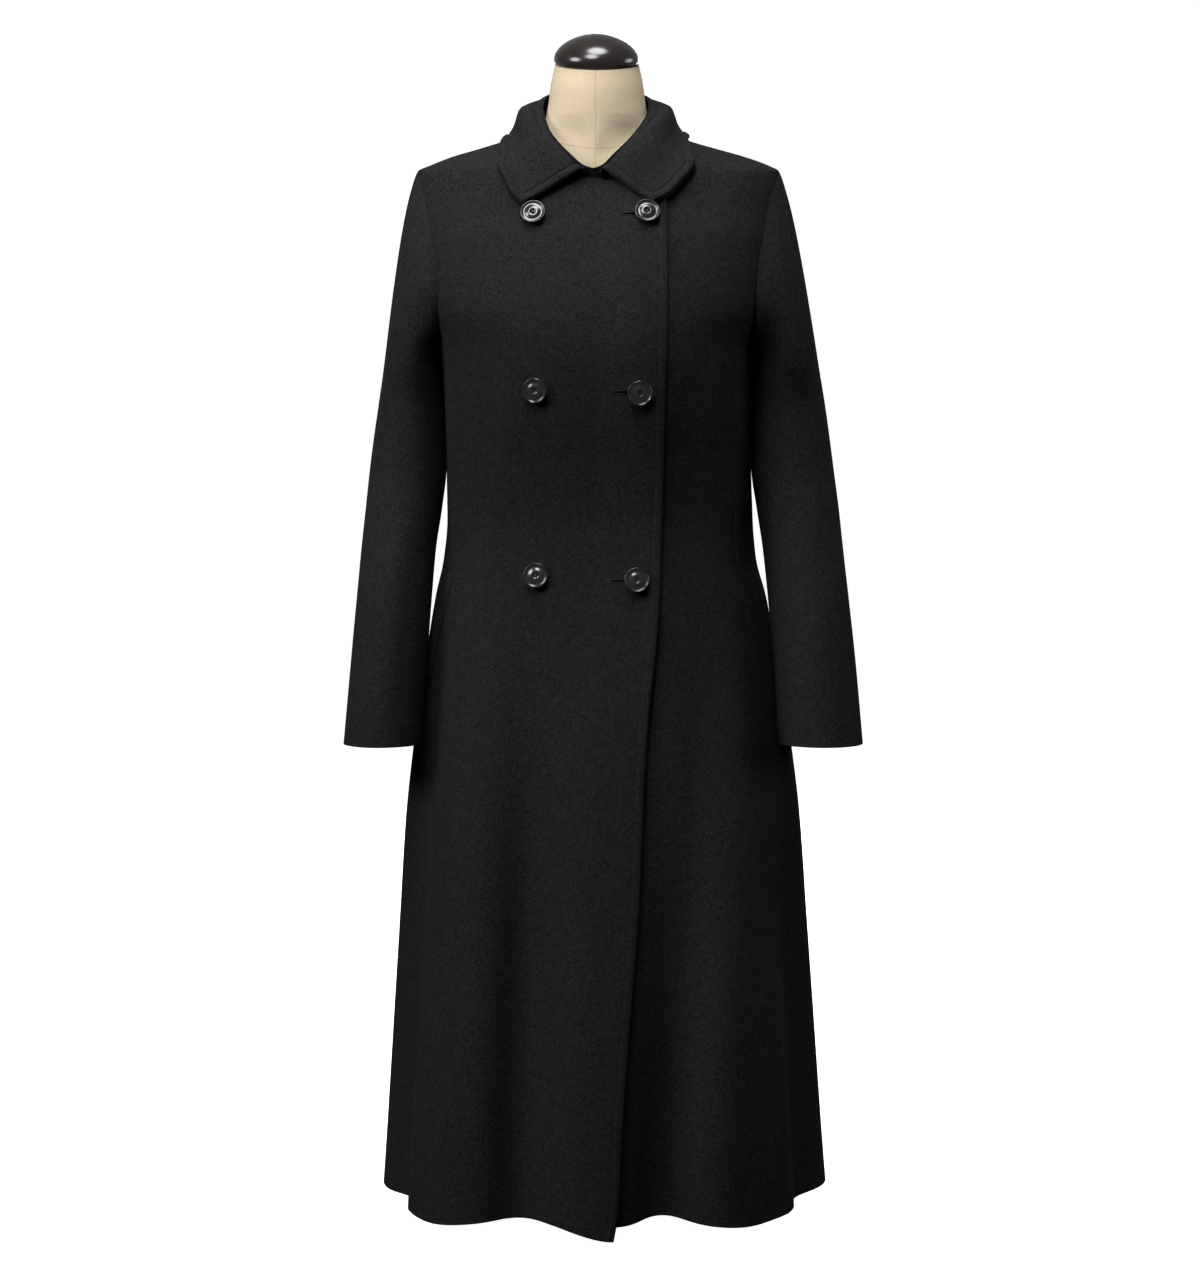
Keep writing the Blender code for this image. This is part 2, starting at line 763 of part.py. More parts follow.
def sleeves(finish):
    """Make both two-piece sleeves, their seams at the ends of the armhole's under part."""
    upper, front_part, under, back_part = armhole_turns()
    turns = upper + front_part[1:] + under[1:] + back_part[1:-1]
    front_seam = YOKE_ACROSS + ARMHOLE_SIDE_STEPS
    back_seam = front_seam + ARMHOLE_UNDER_STEPS
    for side, name in ((-1, "right"), (1, "left")):
        outer = np.array([[tuple(p) for p in sleeve_column(side, turn)] for turn in turns]).swapaxes(0, 1)
        along = np.gradient(outer, axis=0)
        across = np.roll(outer, -1, axis=1) - np.roll(outer, 1, axis=1)
        normal = np.cross(across, along) * side
        normal /= np.linalg.norm(normal, axis=2)[:, :, None]
        inner = outer - normal * CLOTH
        sleeve_piece(f"sleeve_{name}_under", outer, inner, front_seam, back_seam, finish)
        sleeve_piece(f"sleeve_{name}_top", outer, inner, back_seam, front_seam + len(turns), finish)


# Collar


def collar_places():
    """Return the side and the share towards the back for each step along the collar."""
    return [(-1 if u < 0 else 1, 1 - abs(u)) for u in np.linspace(-1, 1, COLLAR_STEPS + 1)]


def roll_point(side, share, turn_column):
    """Return a point of the crest where the collar turns down."""
    turn = math.radians(COLLAR_AT[turn_column](share))
    reach = ROLL_FRONT if math.cos(turn) > 0 else ROLL_BACK
    across = COLLAR_AT["roll_centre"](share) + side * ROLL_HALF_WIDTH * math.sin(turn)
    return Vector((across, -reach * math.cos(turn), COLLAR_AT["roll_height"](share)))


def crest_way(crest):
    """Return the level direction from the neck out through a point of the crest."""
    return Vector((crest.x - COLLAR_CENTRE, crest.y, 0)).normalized()


def edge_point(side, share):
    """Return a point of the collar's free edge, resting on the cloth below it."""
    turn = COLLAR_AT["edge_left" if side > 0 else "edge_right"](share)
    angle = 270 + side * turn
    height = COLLAR_AT["edge_height"](share)
    point = body_point(angle, height)
    lift = LEAF_LIFT + LEAF_OVER_FRONT * top_layer(point, height)
    point += body_normal(angle, height) * lift
    return point + Vector((COLLAR_CENTRE, 0, 0))


def collar_leaf(finish):
    """Make the leaf from the crest to its free edge."""
    outer = []
    for step in range(LEAF_STEPS + 1):
        share_down = step / LEAF_STEPS
        swell = LEAF_BULGE * math.sin(math.pi * share_down ** LEAF_BULGE_POWER)
        row = []
        for side, share in collar_places():
            crest = roll_point(side, share, "roll_turn")
            edge = edge_point(side, share)
            swell_way = (crest_way(crest) + Vector((0, 0, 1))).normalized()
            row.append(crest.lerp(edge, share_down) + swell_way * swell)
        outer.append(row)
    return solid("collar", outer, offset_grid(outer, -CLOTH), finish)


def collar_stand(finish):
    """Make the band that rises from the neckline to just under the crest."""
    low = []
    high = []
    for side, share in collar_places():
        turn = COLLAR_AT["band_turn"](share)
        low.append(body_point(270 + side * turn, NECKLINE_AT(turn) + STAND_SEAT))
        crest = roll_point(side, share, "band_turn")
        high.append(crest - crest_way(crest) * STAND_INSET - Vector((0, 0, STAND_DROP)))
    outer = [low, [a.lerp(b, 0.5) for a, b in zip(low, high)], high]
    return solid("collar_stand", outer, offset_grid(outer, STAND_CLOTH), finish)


# Pockets and buttons


def on_panel(panel, angle, height):
    """Return the place on a panel's outer face at one angle and height, and its outward direction."""
    points = [vertex.co for vertex in panel.data.vertices]
    faces = [face.vertices for face in panel.data.polygons]
    way = body_normal(angle, height)
    start = body_point(angle, height) + way * PANEL_SEARCH
    place, normal, _, _ = BVHTree.FromPolygons(points, faces).ray_cast(start, -way)
    return place, normal


def pocket_welt(name, side, panel, finish):
    """Make a welt from the side panel's own points, moved out."""
    outer = []
    inner = []
    for height in np.linspace(POCKET_TOP - POCKET_LENGTH, POCKET_TOP, POCKET_ROWS + 1):
        down = (POCKET_TOP - height) / POCKET_LENGTH
        half_width = BODY_AT["right" if side > 0 else "left"](height)
        share = LONG_SEAM_AT["front"](height)
        seam = near(angle_at(side * share * half_width, height), side_angle(0, side))
        start = POCKET_START_ANGLE + POCKET_SLANT_ANGLE * down
        angles = np.linspace(start, start + POCKET_WIDTH_ANGLE, 3)
        places = [on_panel(panel, seam + side * angle, height) for angle in angles]
        outer.append([place + normal * (WELT_GAP + WELT) for place, normal in places])
        inner.append([place + normal * WELT_GAP for place, normal in places])
    return solid(name, outer, inner, finish)


def turned_solid(name, profile, centre, axis, sides, finish):
    """Make a round solid from distances out from and along an axis, closed at both ends."""
    axis = axis.normalized()
    first = axis.orthogonal().normalized()
    second = axis.cross(first)
    points = []
    for out, up in profile:
        for k in range(sides):
            turn = 2 * math.pi * k / sides
            points.append(centre + axis * up + (first * math.cos(turn) + second * math.sin(turn)) * out)
    faces = []
    for j in range(len(profile) - 1):
        for k in range(sides):
            nxt = (k + 1) % sides
            faces.append([j * sides + k, j * sides + nxt, (j + 1) * sides + nxt, (j + 1) * sides + k])
    faces.append(list(range(sides)))
    faces.append(list(range((len(profile) - 1) * sides, len(profile) * sides)))
    return add_object(name, points, faces, finish)


def buttons(panel, finish):
    """Make the buttons, each square to the face under it."""
    profile = [(ring.out * BUTTON_RADIUS, ring.up * BUTTON_RADIUS) for ring in BUTTON_PROFILE]
    for place in BUTTONS:
        height = place.height * MM
        seat, normal = on_panel(panel, angle_at(place.across * MM, height), height)
        turned_solid(place.name, profile, seat + normal * BUTTON_GAP, normal, ROUND_SIDES, finish)


# Dress form and stand


def form_rings():
    """Return the rings of the torso and neck from the bottom up."""
    rings = []
    angles = [360 * k / FORM_SIDES for k in range(FORM_SIDES)]
    body_heights = [row.height * MM for row in BODY if FORM_BOTTOM < row.height * MM < FORM_SHOULDER_TOP]
    for height in [FORM_BOTTOM] + body_heights:
        ring = []
        for angle in angles:
            sizes = {name: curve(height) for name, curve in BODY_AT.items()}
            turn = math.radians(angle)
            radius = oval_radius(angle, **sizes)
            point = Vector((radius * math.cos(turn), radius * math.sin(turn), height))
            ease = EASE_AT(height) + FORM_RELIEF * abs(math.sin(turn))
            point -= body_normal(angle, height) * (CLOTH + ease)
            point.z = max(point.z, FORM_BOTTOM)
            ring.append(point)
        rings.append(ring)
    for row in FORM_NECK:
        ring = []
        for angle in angles:
            radius = oval_radius(angle, row.right, row.left, row.back, row.front, row.square) * MM
            turn = math.radians(angle)
            along = radius * math.sin(turn)
            tilt = NECK_TILT * along * smooth_step((row.height * MM - NECK_LOW) / (NECK_TOP - NECK_LOW))
            ring.append(Vector((radius * math.cos(turn), along, row.height * MM + tilt)))
        rings.append(ring)
    return rings


def form(finish):
    """Make the torso and neck as one smooth solid."""
    rings = form_rings()
    sides = FORM_SIDES
    points = [p for ring in rings for p in ring]
    faces = []
    for j in range(len(rings) - 1):
        for k in range(sides):
            nxt = (k + 1) % sides
            faces.append([j * sides + k, j * sides + nxt, (j + 1) * sides + nxt, (j + 1) * sides + k])
    faces.append(list(range(sides)))
    faces.append(list(range((len(rings) - 1) * sides, len(rings) * sides)))
    return add_object("form", points, faces, finish)


def form_cap(finish):
    """Make the domed neck cap, tilted with the neck's top."""
    axis = Vector((0, -NECK_TILT, 1)).normalized()
    seat = Vector((0, 0, NECK_TOP)) + axis * SEAM_GAP
    profile = [(ring.out * CAP_RADIUS, ring.up * CAP_HEIGHT) for ring in CAP_PROFILE]
    return turned_solid("form_cap", profile, seat, axis, FORM_SIDES, finish)


def stand(pole_finish, base_finish):
    """Make the pole and the weighted base under the dress form."""
    up = Vector((0, 0, 1))
    foot = Vector((0, STAND_BACK, 0))
    pole_low = BASE_HEIGHT + SEAM_GAP
    pole = [(POLE_RADIUS, pole_low), (POLE_RADIUS, FORM_BOTTOM - SEAM_GAP)]
    turned_solid("form_pole", pole, foot, up, ROUND_SIDES, pole_finish)
    base = [(ring.out * BASE_RADIUS, ring.up * BASE_HEIGHT) for ring in BASE_PROFILE]
    turned_solid("form_base", base, foot, up, FORM_SIDES, base_finish)


def plain_finish(name):
    """Make one of the finishes."""
    material = bpy.data.materials.new(name)
    material.use_nodes = True
    shader = material.node_tree.nodes["Principled BSDF"]
    shader.inputs["Base Color"].default_value = FINISHES[name].colour
    shader.inputs["Roughness"].default_value = FINISHES[name].roughness
    shader.inputs["Metallic"].default_value = 0
    return material


def main():
    for item in list(bpy.data.objects):
        bpy.data.objects.remove(item, do_unlink=True)
    wool = plain_finish("wool")
    top_front = front("front_right", -1, 0, FRONT_CORNER_DROP, top_layer, wool)
    front("front_left", 1, OVERLAP, 0, under_layer, wool)
    back_panel(wool)
    for side, name in ((-1, "right"), (1, "left")):
        panel = side_panel(f"side_{name}", side, wool)
        yoke(f"yoke_{name}", side, wool)
        pocket_welt(f"pocket_welt_{name}", side, panel, wool)
    sleeves(wool)
    collar_leaf(wool)
    collar_stand(wool)
    buttons(top_front, plain_finish("button_black"))
    form(plain_finish("linen"))
    lacquer = plain_finish("lacquer")
    form_cap(lacquer)
    stand(lacquer, plain_finish("white_enamel"))


main()
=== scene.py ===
"""Dresses the tailored coat and its dress form: wool shells, sewing, buttons, linen, camera and light.

Metres, +Z up, the front faces -Y and +X is the wearer's left.
Angles round the body are in degrees, from +X through the back at 90 to the front at 270.
A side of -1 is the wearer's right, a side of +1 the wearer's left.
"""
import math
from collections import namedtuple

import bmesh
import bpy
import numpy as np
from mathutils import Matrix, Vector


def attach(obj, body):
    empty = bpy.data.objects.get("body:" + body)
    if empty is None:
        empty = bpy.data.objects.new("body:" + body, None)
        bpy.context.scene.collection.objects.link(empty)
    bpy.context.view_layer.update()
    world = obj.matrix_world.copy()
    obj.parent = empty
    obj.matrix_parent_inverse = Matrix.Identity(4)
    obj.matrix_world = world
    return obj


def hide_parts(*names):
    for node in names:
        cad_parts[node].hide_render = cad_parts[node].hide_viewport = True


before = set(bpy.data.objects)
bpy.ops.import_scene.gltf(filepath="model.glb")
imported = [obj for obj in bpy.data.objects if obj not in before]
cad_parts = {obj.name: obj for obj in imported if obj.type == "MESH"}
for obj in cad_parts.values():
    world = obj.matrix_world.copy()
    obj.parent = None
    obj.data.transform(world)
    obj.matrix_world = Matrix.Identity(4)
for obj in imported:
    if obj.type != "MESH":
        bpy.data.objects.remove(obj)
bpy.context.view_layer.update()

MM = 0.001


def table(names, *rows):
    """Return the rows of a table with named columns."""
    row_type = namedtuple("Row", names)
    return [row_type(*row) for row in rows]


# Cloth and seams
CLOTH = 2.5 * MM
STAND_CLOTH = 1.5 * MM
FRONT_LAYER = CLOTH + 2.6 * MM
HEM_HEIGHT = 17 * MM
FRONT_CORNER_DROP = 13 * MM
FRONT_CORNER_WIDTH = 62 * MM
OVERLAP = 138 * MM
CROSSOVER = 50 * MM
CROSSOVER_INSET = 75 * MM
NECK_CENTRE_HEIGHT = 1074 * MM
NECK_END_HEIGHT = 1056 * MM
CUFF_HEIGHT = 492 * MM
BICEP_HEIGHT = 881 * MM
SEAM_ROUND = 1.2 * MM
EDGE_ROUND = 1.2 * MM

# Armhole
ARMHOLE_TOP = 1084 * MM
ARMHOLE_BOTTOM = 897 * MM
ARMHOLE_HALF_ANGLE = 18.6
ARMHOLE_EGG = 0.49
YOKE_END = 76
PANEL_JOINT = 135
FRONT_TOP_START = 0.8
SIDE_TOP_START = 0.6

# Sleeve head: its lean in degrees, and the reach of its curve as shares of its span
HEAD_LEAN = 35
HEAD_LEAVE = 0.2
HEAD_LEAVE_CHANGE = 0.07
HEAD_ARRIVE = 0.34
HEAD_ARRIVE_STEP = 5 * MM
HEAD_UNDER = 78
HEAD_UNDER_POWER = 4
HEAD_BLEND = (-16, -8, 0, 8, 16)

# Dress form, its cap's rim and dome as shares of radius, height and a quarter turn
CAP_RADIUS = 44.6 * MM
CAP_HEIGHT = 31.5 * MM
CAP_POWER = 1.1
CAP_RIM = table("out up", (0.93, 0), (0.97, 0.05), (1, 0.12), (1, 0.2))
CAP_DOME = np.linspace(0.04, 0.97, 28)
CAP_GAP = 0.3 * MM
NECK_TOP = 1195 * MM
NECK_TILT = 0.22
FORM_BOTTOM = 560 * MM
TORSO_TOP = 1128 * MM
NECK_BOTTOM = 1140 * MM
LINEN_SEAM_ACROSS = -1.5 * MM
LINEN_SEAM_HEIGHT = 1131 * MM
LINEN_SEAM_SLOPE = 0.5
LINEN_SEAM_WIDTH = 0.35 * MM

# Counts of faces
SEAM_ROWS = 144
ARMHOLE_SIDE_STEPS = 36
ARMHOLE_UNDER_STEPS = 54
YOKE_STEPS = 54
YOKE_ACROSS = 72
NECK_STEPS = 36
EXTENSION_STEPS = 18
BACK_NECK_STEPS = 54
HEAD_STEPS = 45
SLEEVE_STEPS = 81
COLLAR_STEPS = 320
COLLAR_END_POWER = 1.5
ROLL_STEPS = 10
LEAF_STEPS = 80
FRONT_COLUMNS = 170
FRONT_END_POWER = 1.5
FORM_SIDES = 96
ROUND_SIDES = 64
TORSO_RINGS = 60
NECK_RINGS = 24
STAND_ROWS = 9
THREAD_RINGS = 7
THREAD_SIDES = 8

# Sections of the coat's outer face in mm, left and right as seen from the front, and their squareness
BODY = table(
    "height left right front back square",
    (0, 225, 243, 208, 204, 2.6),
    (79, 220, 237, 202, 197, 2.6),
    (198, 213, 229, 189, 183, 2.5),
    (301, 207, 222, 174, 168, 2.4),
    (404, 201, 215, 159, 151, 2.35),
    (482, 193, 206, 147, 138, 2.3),
    (583, 179, 190, 129, 116, 2.3),
    (642, 169, 178, 119, 102, 2.35),
    (682, 160, 167, 113, 93, 2.4),
    (723, 156, 163, 110, 88, 2.4),
    (777, 157, 161, 115, 90, 2.4),
    (842, 159, 162, 125, 98, 2.4),
    (897, 163, 164, 129, 108, 2.4),
    (940, 175, 175, 124, 112, 2.5),
    (1007, 183, 183, 103, 111, 2.5),
    (1042, 186, 187, 87, 107, 2.3),
    (1084, 187, 190, 69, 99, 1.9),
    (1091, 173, 178, 66, 96, 1.6),
    (1100, 150, 153, 63, 93, 1.35),
    (1107, 126, 128, 61, 90, 1.25),
    (1114, 103, 103, 59, 86, 1.2),
    (1121, 82, 82, 57, 82, 1.3),
    (1128, 67, 67, 55, 78, 1.6),
    (1140, 60, 60, 52, 73, 2.0),
)

# Folds of the skirt: place and spread in degrees, height at the hem in mm, and where each starts in mm
FOLDS = table(
    "angle width rise top",
    (199, 11, -27, 720),
    (228, 11, 11, 640),
    (246, 8, -11, 640),
    (266, 9, 6, 560),
    (289, 8, -12, 660),
    (307, 11, 10, 640),
    (342, 14, -30, 740),
    (8, 12, 4, 600),
    (42, 12, -12, 620),
    (66, 11, 9, 600),
    (90, 10, -10, 560),
    (114, 11, 9, 600),
    (138, 12, -12, 620),
    (172, 12, 4, 600),
)
FOLD_GROWTH = 0.8

# Waves of the front's hem: where each lies and its spread in degrees, and its height in mm
HEM_WAVES = table(
    "angle width rise",
    (228, 8, -3),
    (247, 8, 5),
    (289, 7, 8),
    (308, 8, -3),
)

# Edge of the top front: how far it lies past the middle, in mm
FRONT_EDGE = table(
    "height across",
    (0, 14),
    (28, 19),
    (118, 24),
    (228, 32),
    (310, 39),
    (421, 46),
    (495, 51),
    (610, 61),
    (727, 65),
    (834, 68),
    (990, 72),
    (1060, 71),
)

# Long seams, as shares of the half width on the coat's front and on its back
LONG_SEAMS = table(
    "height front back",
    (0, 0.84, 0.78),
    (128, 0.82, 0.78),
    (300, 0.84, 0.79),
    (560, 0.89, 0.80),
    (720, 0.885, 0.80),
    (840, 0.87, 0.82),
    (925, 0.95, 0.95),
)

# Neckline by turn from the middle of the front, and the ends of the yoke on it
NECKLINE = table(
    "turn height",
    (0, 1074),
    (27, 1084),
    (53, 1104),
    (75, 1123),
    (90, 1129),
    (130, 1134),
    (180, 1135),
)
YOKE_FRONT_TURN = 53
YOKE_BACK_TURN = 130

# Yoke seam between the neckline and the armhole, in mm
YOKE_SEAM = table(
    "across front_height back_height",
    (103, 1088, 1098),
    (133, 1077, 1080),
    (148, 1068, 1069),
    (159, 1055, 1055),
    (167, 1037, 1037),
)

# Sleeve rings in mm: distances out from the middle, and how far they reach to the front and the back
SLEEVES = table(
    "height inner_right outer_right inner_left outer_left front back",
    (881, 162.1, 224, 163.4, 233, 52, 72),
    (842, 159.2, 230, 162.2, 240, 46, 78),
    (777, 157.8, 238, 161.8, 248, 50, 70),
    (735, 162, 242, 167, 253, 59, 59),
    (693, 168, 246, 173, 257, 70, 46),
    (642, 172, 250, 178, 262, 83, 31),
    (583, 176, 255, 183, 268, 96, 15),
    (486, 183, 263, 189, 276, 112, -6),
)

# Collar in mm and degrees, from its front end to the middle of the back
COLLAR = table(
    "share band_turn roll_turn roll_centre roll_height edge_right edge_left edge_height",
    (0.0, 0, 7, -4, 1085, 42, 34.3, 1043),
    (0.05, 9, 13, -4.7, 1088, 48, 44, 1053),
    (0.15, 25, 27, -5.5, 1102, 55, 54, 1071),
    (0.3, 50, 50, -4.5, 1124, 65, 65.5, 1092.5),
    (0.45, 75, 75, -1.5, 1146, 85, 83, 1112.5),
    (0.49, 82, 82, -1.4, 1150.5, 90, 90, 1115.7),
    (0.53, 89, 89, -1.2, 1155, 97, 97, 1114.3),
    (0.62, 105, 105, -1, 1164, 114, 114, 1111),
    (0.8, 140, 140, -1, 1174, 145, 145, 1104),
    (1.0, 180, 180, -1, 1177, 180, 180, 1100),
)
COLLAR_CENTRE = -1.5 * MM
ROLL_HALF_WIDTH = 59 * MM
ROLL_FRONT = 82 * MM
ROLL_BACK = 78 * MM
LEAF_OVER_FRONT = 0.6
LEAF_CLEAR = 0.8 * MM
LEAF_SWELL_POWER = 0.45
LEAF_HOLLOW_POWER = 1.5
LEAF_EDGE = 5 * MM
ROLL_ROUND = 6 * MM
ROLL_INSIDE = 4 * MM
ROLL_DROP = 5 * MM

# Collar leaf in mm, from its front end to the middle of the back: edge's lift, swell and hollow
LEAF = table(
    "share lift swell hollow",
    (0, 8.5, 0, 1.2),
    (0.15, 8, 1, 3.6),
    (0.3, 5, 5, 4.5),
    (0.45, 2.6, 12, 2.5),
    (0.62, 2.2, 9, 1.5),
    (1, 3, 5, 2),
)

# Sewn edges: the stitch line's distance in, its groove, and shares of that distance for the swell
STITCH_INSET = 9.5 * MM
STITCH_WIDTH = 1.0 * MM
SWELL_START = 0.25
SWELL_END = 0.6
Sewing = namedtuple("Sewing", "puff groove")
COLLAR_SEWING = Sewing(1.0, 1.0)
FRONT_SEWING = Sewing(0.35, 0.35)
EDGE_CURVE = 4 * MM
EDGE_LIP = 0.5 * MM
EDGE_LIFT = 6 * MM
EDGE_LIFT_WIDTH = 40 * MM
EDGE_LIFT_TOP = 940 * MM
EDGE_LIFT_FADE = 350 * MM
STAND_DROP = 2.2 * MM
STAND_INSET = 3.2 * MM
STAND_TUCK = 4 * MM
STAND_BEHIND = 3.2 * MM

# Neck of the dress form in mm
FORM_NECK = table(
    "height left right front back square",
    (1140, 53, 53, 50.6, 58, 2.0),
    (1154, 50.5, 50.5, 49.8, 53, 2.0),
    (1174, 48, 48, 48, 48, 2.0),
    (1195, 43.5, 43.5, 44, 43, 2.0),
)

# Ease between the cloth and the dress form, in mm
FORM_EASE = table(
    "height gap",
    (560, 25),
    (642, 14),
    (723, 9),
    (842, 7),
    (897, 9),
    (960, 15),
    (1060, 14),
    (1084, 4),
    (1092, 1.6),
    (1128, 1.4),
)
FORM_RELIEF = 7 * MM
FORM_RELIEF_TOP = 1095 * MM
FORM_RELIEF_FADE = 30 * MM

# Pocket welts: along the mouth in mm of height and in degrees behind the long seam
POCKET_TOP = 668 * MM
POCKET_LENGTH = 110 * MM
POCKET_WIDTH_ANGLE = 6.5
POCKET_START_ANGLE = 3
POCKET_SLANT_ANGLE = 8
POCKET_ROWS = 60
POCKET_ACROSS = 16
WELT = 1.6 * MM
WELT_GAP = 0.5 * MM

# Buttons and their buttonholes in mm, a buttonhole only where it shows
BUTTONS = table(
    "name across height hole",
    ("button_right_1", -64.7, 1036, 0),
    ("button_right_2", -62, 857, 0),
    ("button_right_3", -61.7, 668, 0),
    ("button_left_1", 50.3, 1034.5, 25),
    ("button_left_2", 42.1, 855, 26),
    ("button_left_3", 39.3, 662.5, 25),
)
BUTTON_RADIUS = 12.8 * MM
BUTTON_GAP = 0.4 * MM

# Outline of a turned button, as shares of its radius out and up from the cloth
BUTTON_PROFILE = table(
    "out up",
    (0.34, 0.0),
    (0.34, 0.14),
    (0.60, 0.16),
    (0.88, 0.21),
    (0.97, 0.30),
    (1.0, 0.38),
    (0.995, 0.46),
    (0.97, 0.525),
    (0.935, 0.54),
    (0.90, 0.52),
    (0.87, 0.46),
    (0.82, 0.42),
    (0.72, 0.405),
    (0.62, 0.42),
    (0.54, 0.455),
    (0.46, 0.49),
    (0.38, 0.512),
    (0.30, 0.522),
    (0.25, 0.515),
    (0.215, 0.48),
    (0.20, 0.40),
    (0.13, 0.37),
    (0.10, 0.39),
    (0.08, 0.44),
    (0.045, 0.47),
    (0.01, 0.478),
)

# Buttonholes: half widths of the slit at its two ends, and the threads worked over its edges; the slit
# is a near-black sheet, painted shade for the opening
HOLE_NARROW = 0.4 * MM
HOLE_WIDE = 2.0 * MM
HOLE_RIGHT = 3 * MM
THREAD_PITCH = 0.95 * MM
THREAD_LENGTH = 1.4 * MM
THREAD_RADIUS = 0.42 * MM
THREAD_LIFT = 0.15 * MM
THREAD_TAPER = 0.98
BAR_THREADS = 5
BAR_HALF = 1.0 * MM
SLIT_LIFT = 0.35 * MM

# Soft creases of the body in mm and degrees: where they lie, place, sizes, lean and rise
CREASES = table(
    "where across height width length lean rise",
    ("front", -68, 220, 27, 330, 1, -17),
    ("front", -128, 230, 24, 330, 2, 6),
    ("front", -20, 260, 34, 340, -3, 4),
    ("front_left", 84, 230, 30, 350, -5, -13),
    ("front", 138, 250, 24, 300, -3, 4),
    ("front", -118, 880, 16, 70, 6, -1.6),
    ("front", -92, 800, 14, 90, -4, 1.0),
    ("front", -40, 930, 22, 60, 12, 0.8),
    ("front", 104, 850, 15, 80, -7, -1.5),
    ("front", 118, 720, 12, 60, 5, 1.0),
    ("front", -104, 700, 13, 60, 9, -1.2),
    ("front", -10, 610, 26, 80, -6, -0.9),
    ("front", 96, 560, 16, 110, 3, -1.3),
    ("front", -72, 470, 18, 120, -2, 1.2),
    ("front", 20, 330, 22, 120, 4, -1.1),
    ("front", -130, 300, 14, 110, 2, -1.6),
    ("front", 132, 260, 15, 100, -3, 1.4),
    ("back", -60, 700, 18, 45, 58, -1.8),
    ("back", 52, 716, 16, 40, -62, -1.6),
    ("back", 8, 735, 20, 55, 80, 1.2),
    ("back", -96, 960, 16, 70, 18, -1.4),
    ("back", 90, 940, 18, 60, -22, -1.5),
    ("back", -30, 520, 20, 120, 3, -1.4),
    ("back", 70, 430, 18, 110, -4, 1.3),
    ("back", 110, 260, 17, 100, 2, -1.5),
    ("back", -115, 300, 16, 110, -3, 1.2),
)

# Soft creases of the sleeves in mm, their turns and spreads in degrees, their leans in mm a degree
SLEEVE_CREASES = table(
    "side turn height spread length lean rise",
    (-1, 62, 700, 22, 26, 0.25, -1.8),
    (-1, 95, 742, 24, 30, -0.2, -1.4),
    (-1, 40, 640, 26, 34, 0.3, 1.2),
    (-1, 118, 600, 18, 90, 0, -1.8),
    (-1, 15, 860, 24, 50, 0.1, -1.2),
    (-1, 78, 535, 22, 30, -0.2, 1.1),
    (-1, 265, 720, 30, 30, 0.3, -2.0),
    (-1, 285, 640, 26, 40, -0.2, -1.4),
    (1, 70, 690, 24, 28, -0.3, -2.0),
    (1, 38, 650, 22, 34, 0.25, 1.5),
    (1, 100, 730, 20, 30, 0.2, -1.2),
    (1, 112, 590, 18, 100, 0, -1.6),
    (1, 20, 850, 22, 46, -0.1, -1.3),
    (1, 60, 545, 24, 34, 0.2, -1.1),
    (1, 270, 700, 30, 30, -0.3, -2.0),
    (1, 292, 790, 24, 40, 0.2, -1.3),
)

# Flat cuts of the cloth in metres, and the share of that rectangle that the cut fills
Cut = namedtuple("Cut", "width length share")

# Finishes: colours, noise scales, depths of relief and strengths
WOOL_STRAND = (0.0175, 0.0175, 0.018, 1)
WOOL_GROUND = (0.0075, 0.0075, 0.0077, 1)
WOOL_ROUGHNESS = 0.95
WOOL_SHEEN = 0.008
WOOL_SHEEN_ROUGHNESS = 0.4
STRAND_CONTRAST = 9
FELT_SCALE = 420
FELT_DISTORTION = 1.2
FELT_DEPTH = 0.6 * MM
FELT_STRENGTH = 0.6
FIBRE_SCALE = 1500
FIBRE_DEPTH = 0.3 * MM
FIBRE_STRENGTH = 0.5
LINEN_LOW = (0.375, 0.306, 0.217, 1)
LINEN_HIGH = (0.42, 0.345, 0.246, 1)
LINEN_SEAM = (0.28, 0.225, 0.158, 1)
LINEN_ROUGHNESS = 0.9
WEAVE_SCALE = 240
WEAVE_ACROSS = (4, 4, 1)
WEAVE_UPWARD = (1, 1, 5)
WEAVE_DEPTH = 0.3 * MM
WEAVE_STRENGTH = 0.4
CLOUD_SCALE = 60
NOISE_DETAIL = 3
FIBRE_DETAIL = 2
RAMP_LOW = 0.3
RAMP_HIGH = 0.7
SWEEP_WHITE = (0.8, 0.8, 0.8, 1)
SWEEP_ROUGHNESS = 0.9
GLOSSES = table(
    "name low high roughness specular",
    ("button_resin", (0.004, 0.004, 0.004, 1), (0.008, 0.008, 0.008, 1), 0.22, 0.5),
    ("thread_black", (0.012, 0.012, 0.013, 1), (0.022, 0.022, 0.023, 1), 0.8, 0),
    # The slit's near-black is painted shade: it stands for the shade inside the buttonhole's opening
    ("slit_black", (0.001, 0.001, 0.001, 1), (0.002, 0.002, 0.002, 1), 0.9, 0),
    ("cap_lacquer", (0.006, 0.0045, 0.004, 1), (0.010, 0.0075, 0.0065, 1), 0.2, 0.4),
    ("enamel", (0.78, 0.78, 0.78, 1), (0.82, 0.82, 0.82, 1), 0.35, 0.5),
)

# Sockets of a colour mix: share, first colour, second colour and the result
MIX_SHARE = 0
MIX_FIRST = 6
MIX_SECOND = 7
MIX_RESULT = 2

# Studio in metres
FLOOR_SIZE = 30
BACKDROP_RADIUS = 14
SURROUNDING_GLOW = 0.35

# Soft round lights: place, the point each faces, size in metres and power in watts
LIGHTS = table(
    "name place target size power",
    ("key", (-0.4, -1.35, 2.6), (0, 0, 0.8), 0.9, 42),
    ("top", (0, -0.5, 3.0), (0, 0, 1.0), 1.0, 52),
    ("left_fill", (-2.5, -1.4, 2.2), (0, 0, 0.65), 1.4, 88),
    ("right_fill", (3.4, 0.3, 1.5), (0, 0, 0.65), 1.6, 44),
    ("back_fill", (0.9, 3.6, 1.6), (0, 0, 0.7), 2.0, 150),
)

